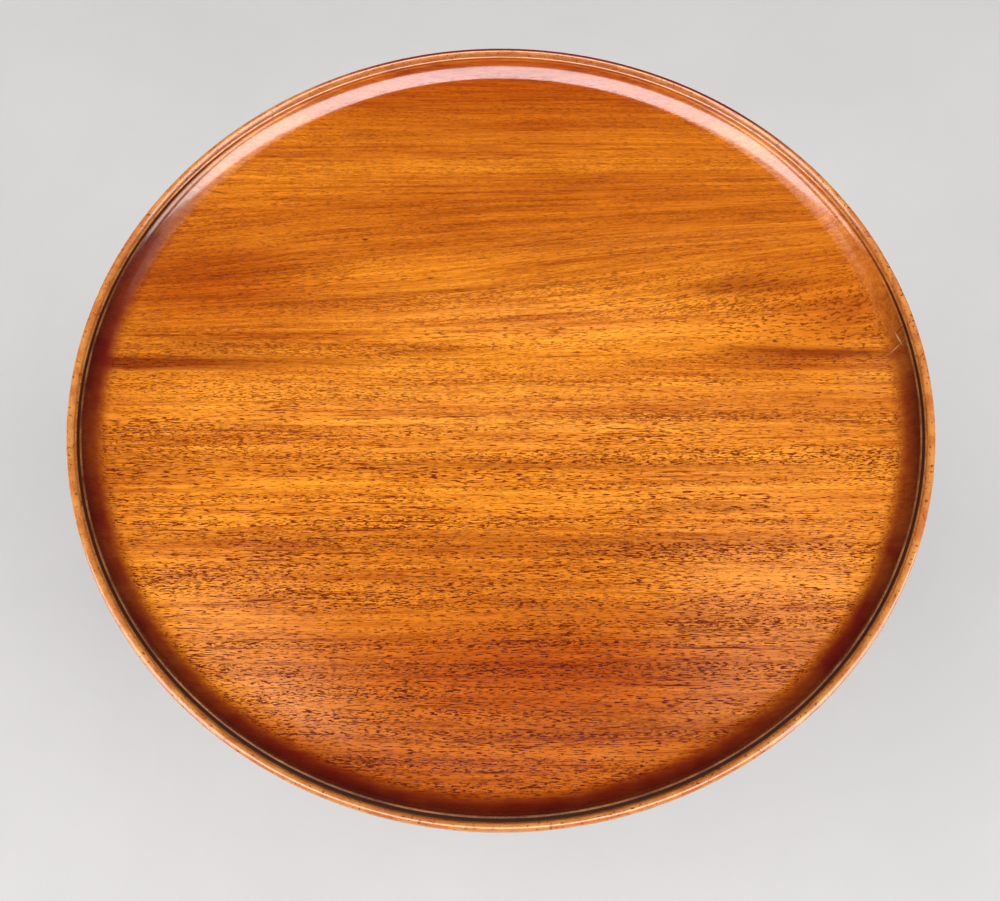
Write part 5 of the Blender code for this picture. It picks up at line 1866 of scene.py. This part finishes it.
@dataclass
class Catch:
    """The sprung brass catch: case, bolt, knob, spring and screws."""

    front: float = 0.076382
    length: float = 0.036
    width: float = 0.019
    height: float = 0.0128
    wall: float = 0.0025
    flange_width: float = 0.046
    flange_thickness: float = 0.002
    screw_x: float = 0.0175
    screw_y: float = 0.011
    bolt_width: float = 0.012
    bolt_thickness: float = 0.006
    bolt_top: float = UNDERSIDE - 0.0042
    bolt_bottom: float = bolt_top - bolt_thickness
    nose_share: float = 0.8
    grip: float = 0.005
    travel: float = 0.007
    body_length: float = 0.016
    tail_radius: float = 0.0014
    tail_length: float = 0.009
    knob_radius: float = 0.0055
    shank_radius: float = 0.002
    knob_length: float = 0.011
    corner: float = 0.003
    box_round: float = 0.0014
    case_ease: float = 0.00035
    bolt_ease: float = 0.0003
    tail_ease: float = 0.0004
    tapping: float = 0.0033
    shank_reach: float = 0.003
    shank_ease: float = 0.0002
    wire: float = 0.00045
    spring_radius: float = 0.003
    turns: int = 7
    closed_turns: float = 0.55
    end_pitch: float = 0.10
    turn_steps: int = 24
    knob_shares: Pairs = (
        (0.00, 0.55), (0.10, 0.86), (0.25, 1.00), (0.42, 0.90), (0.58, 0.62), (0.74, 0.46), (0.88, 0.56),
        (1.00, 0.72),
    )

    @property
    def bottom(self) -> float:
        """The case's lowest level."""
        return BLOCK_TOP - self.height

    @property
    def knob_y(self) -> float:
        """Where the knob stands."""
        return self.front + self.body_length / 2

    @property
    def axis(self) -> float:
        """The level of the bolt's axis."""
        return (self.bolt_top + self.bolt_bottom) / 2

    @property
    def flange_bottom(self) -> float:
        """The flange's lower face."""
        return BLOCK_TOP - self.flange_thickness

    def spots(self) -> Spots:
        """Where the case's screws go.

        Returns:
            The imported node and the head's place of each.
        """
        middle = self.front + self.length / 2
        return [(f"catch_screw_{row}_{side}",
                 (across * self.screw_x, middle + along * self.screw_y, self.flange_bottom))
                for row, along in (("front", -1), ("rear", 1))
                for side, across in (("left", -1), ("right", 1))]

    def case(self) -> None:
        """Casts the case, with its flange, tunnel, slot and screw holes."""
        rear, half = self.front + self.length, self.width / 2
        case = Bench.block("cast_case", (-self.flange_width / 2, self.front, self.flange_bottom),
                           (self.flange_width / 2, rear, BLOCK_TOP))
        Bench.bevel(case, self.corner, 6, lambda edge: abs(edge.verts[0].co.z - edge.verts[1].co.z) > NEAR)
        box = Bench.block("case_box", (-half, self.front, self.bottom), (half, rear, BLOCK_TOP - 0.0001))
        Bench.bevel(box, self.box_round, 4,
                    lambda edge: max(vert.co.z for vert in edge.verts) < self.flange_bottom)
        Bench.cut(case, box, operation="UNION")
        Bench.soften(case, self.case_ease, angle=40)
        tunnel = self.bolt_width / 2 + CLEARANCE
        Bench.cut(case, Bench.block("tunnel", (-tunnel, self.front - OVERRUN, self.bolt_bottom - CLEARANCE),
                                    (tunnel, rear - self.wall, self.bolt_top + CLEARANCE)))
        slot = self.shank_radius + CLEARANCE
        Bench.cut(case, Bench.block("knob_slot", (-slot, self.knob_y - slot, self.bottom - OVERRUN),
                                    (slot, self.knob_y + self.travel + slot, self.axis)))
        CATCH_SCREW.drill(case, self.spots())
        dress(case, BRASS, Body.TOP, "catch_case")
        CATCH_SCREW.drive(self.spots(), UP, BRASS, Body.TOP)

    def bolt(self) -> None:
        """Files the bolt, with its bevelled nose and its tail."""
        tip, nose = TiltBlock.half - self.grip, self.bolt_thickness * self.nose_share
        shoulder, half = self.front + self.body_length, self.bolt_width / 2
        outline = [(tip, self.bolt_top), (tip, self.bolt_bottom + nose), (tip + nose, self.bolt_bottom),
                   (shoulder, self.bolt_bottom), (shoulder, self.bolt_top)]
        bolt = Bench.saw("filed_bolt", [(-half, y, z) for y, z in outline], (2 * half, 0, 0))
        Bench.soften(bolt, self.bolt_ease)
        end = shoulder + self.tail_length
        tail = Bench.rod("tail", (0, self.knob_y, self.axis), (0, end, self.axis), self.tail_radius, 32)
        Bench.bevel(tail, self.tail_ease, 2,
                    lambda edge: all(abs(vert.co.y - end) < NEAR for vert in edge.verts))
        Bench.cut(bolt, tail, operation="UNION")
        Bench.cut(bolt, Bench.rod("tapping", (0, self.knob_y, self.bolt_bottom - OVERRUN),
                                  (0, self.knob_y, self.bolt_bottom + self.tapping),
                                  self.shank_radius + CLEARANCE, 32))
        dress(bolt, BRASS, Body.BOLT, "catch_bolt")

    def knob(self) -> None:
        """Turns the knob and its shank."""
        collar = self.bottom - CLEARANCE
        turning = smooth_through([(self.knob_radius * wide, collar - self.knob_length * (1 - along))
                                  for along, wide in reversed(self.knob_shares)], 4)
        head, ease = self.bolt_bottom + self.shank_reach, self.shank_ease
        shank = [(0, head), (self.shank_radius - ease, head), (self.shank_radius, head - ease),
                 (self.shank_radius, collar)]
        end = [(self.knob_radius * 0.3, collar - self.knob_length), (0, collar - self.knob_length)]
        knob = Bench.turn("turned_knob", [*shank, *turning, *end], 48)
        knob.data.transform(Matrix.Translation((0, self.knob_y, 0)))
        dress(knob, BRASS, Body.BOLT, "catch_knob", angle=45)

    def spring(self) -> None:
        """Winds the spring, with its two end turns closed up."""
        radius = self.spring_radius - self.wire
        start = self.front + self.body_length + CLEARANCE + self.wire
        stop = self.front + self.length - self.wall - CLEARANCE - self.wire
        count = self.turns * self.turn_steps
        curve = bpy.data.curves.new("wound_spring", "CURVE")
        curve.dimensions = "3D"
        curve.bevel_depth = self.wire
        curve.bevel_resolution = 3
        curve.use_fill_caps = True
        line = curve.splines.new("POLY")
        line.points.add(count)
        closing = self.closed_turns / self.turns
        for index, point in enumerate(line.points):
            share = index / count
            eased = min(max((share - closing) / (1 - 2 * closing), 0), 1)
            share = self.end_pitch * share + (1 - self.end_pitch) * eased
            angle = math.tau * index / self.turn_steps
            point.co = (radius * math.cos(angle), start + (stop - start) * share,
                        self.axis + radius * math.sin(angle), 1)
        spring = bpy.data.objects.new("wound_spring", curve)
        bpy.context.scene.collection.objects.link(spring)
        Bench.take(spring)
        bpy.ops.object.convert(target="MESH")
        spring = bpy.context.object
        Bench.tidy(spring, 0.000005)
        dress(spring, SPRING_STEEL, Body.TOP, "catch_spring", angle=60)
        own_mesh(spring)

    def make(self) -> None:
        """Makes the catch piece by piece."""
        self.case()
        self.bolt()
        self.knob()
        self.spring()


@dataclass
class Viewpoint:
    """The camera, held above the table's near side."""

    place: Point = (0.0, -0.3540, 1.3920)
    dip: float = 66.34
    turn: float = 0.0018
    lens: float = 39.6
    sensor: float = 36
    near: float = 0.05

    def make(self) -> None:
        """Adds the camera and makes it the scene's."""
        Bench.clear()
        bpy.ops.object.camera_add(location=self.place, rotation=(math.radians(90 - self.dip), 0, self.turn))
        camera = bpy.context.object
        camera.name = "viewpoint"
        camera.data.lens = self.lens
        camera.data.sensor_width = self.sensor
        camera.data.clip_start = self.near
        bpy.context.scene.camera = camera


@dataclass(frozen=True)
class Panel:
    """One soft light of the studio."""

    name: str
    place: Point
    aim: Point
    width: float
    depth: float
    power: float
    colour: Colour

    def make(self) -> None:
        """Hangs the panel and turns it to its aim."""
        Bench.clear()
        way = Vector(self.aim) - Vector(self.place)
        turn = way.to_track_quat("-Z", "Y").to_euler()
        bpy.ops.object.light_add(type="AREA", location=self.place, rotation=turn)
        light = bpy.context.object
        light.name = self.name
        light.data.shape = "RECTANGLE"
        light.data.size = self.width
        light.data.size_y = self.depth
        light.data.energy = self.power
        light.data.color = self.colour


@dataclass
class Studio:
    """A pale floor under a large soft ceiling light and side panels.

    The room's fill light falls on the table from all sides, and hardly shows in its gloss.
    """

    floor_size: float = 9.0
    gloss: Colour = (0.030, 0.029, 0.029)
    fill: Colour = (0.28, 0.28, 0.285)
    backdrop: Colour = (0.56, 0.56, 0.56)
    panels: tuple[Panel, ...] = (
        Panel("ceiling_panel", (0.0, -2.05, 8.0), (0.0, -2.05, 0.0), 16.0, 4.2, 1200.0, (0.975, 0.975, 1.0)),
        Panel("left_wing", (-3.6, 0.65, 8.1), (-3.6, 0.65, 0.0), 4.8, 1.4, 25.0, (1.0, 0.93, 0.88)),
        Panel("left_wing_edge", (-3.9, 1.75, 8.1), (-3.9, 1.75, 0.0), 4.8, 0.8, 5.5, (1.0, 0.93, 0.88)),
        Panel("right_wing", (3.7, 1.20, 8.1), (3.7, 1.20, 0.0), 4.7, 2.4, 19.0, (1.0, 0.93, 0.88)),
        Panel("right_panel", (3.5, -1.35, 1.9), (0.0, 0.0, 0.7), 2.8, 2.3, 95.0, (0.98, 0.97, 0.97)),
        Panel("left_panel", (-3.5, -1.35, 1.9), (0.0, 0.0, 0.7), 2.8, 2.3, 90.0, (1.0, 0.97, 0.94)),
    )

    def floor(self) -> None:
        """Adds the plaster floor."""
        Bench.clear()
        bpy.ops.mesh.primitive_plane_add(size=self.floor_size, location=(0, 0, 0))
        floor = bpy.context.object
        floor.name = "pale_floor"
        floor.data.materials.append(PLASTER.material())

    def lights(self) -> None:
        """Hangs the panels and adds the room's dim light."""
        for panel in self.panels:
            panel.make()
        world = bpy.data.worlds.new("room")
        bpy.context.scene.world = world
        world.use_nodes = True
        graph = Graph(world.node_tree)
        ray = graph.node("LightPath").outputs
        air = graph.mix(ray["Is Glossy Ray"], self.fill, self.gloss)
        graph.feed(world.node_tree.nodes["Background"].inputs["Color"],
                   graph.mix(ray["Is Camera Ray"], air, self.backdrop))

    def make(self) -> None:
        """Builds the studio and sets how the picture is developed."""
        self.floor()
        self.lights()
        bpy.context.scene.view_settings.view_transform = "Standard"
        bpy.context.scene.view_settings.look = "None"


def dress_packed() -> None:
    """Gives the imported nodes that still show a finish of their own."""
    finishes = {finish.slot: finish for finish in FINISHES}
    for part in frame["record"]["subparts"]:
        node = frame["nodes"][part["node"]]
        for slot in node.material_slots:
            slot.material = finishes[part["material_slot"]].material()


def main() -> None:
    """Builds the table piece by piece, then the studio and the camera."""
    logging.basicConfig(level=logging.INFO, format="%(message)s")
    dress_packed()
    table = (TableTop(), Bearers(), Catch(), TiltBlock(), Wedge(), Column(), Leg(), Spider())
    for assembly in (*table, Studio(), Viewpoint()):
        assembly.make()
        LOG.info("%s is made", type(assembly).__name__)


if __name__ == "__main__":
    main()
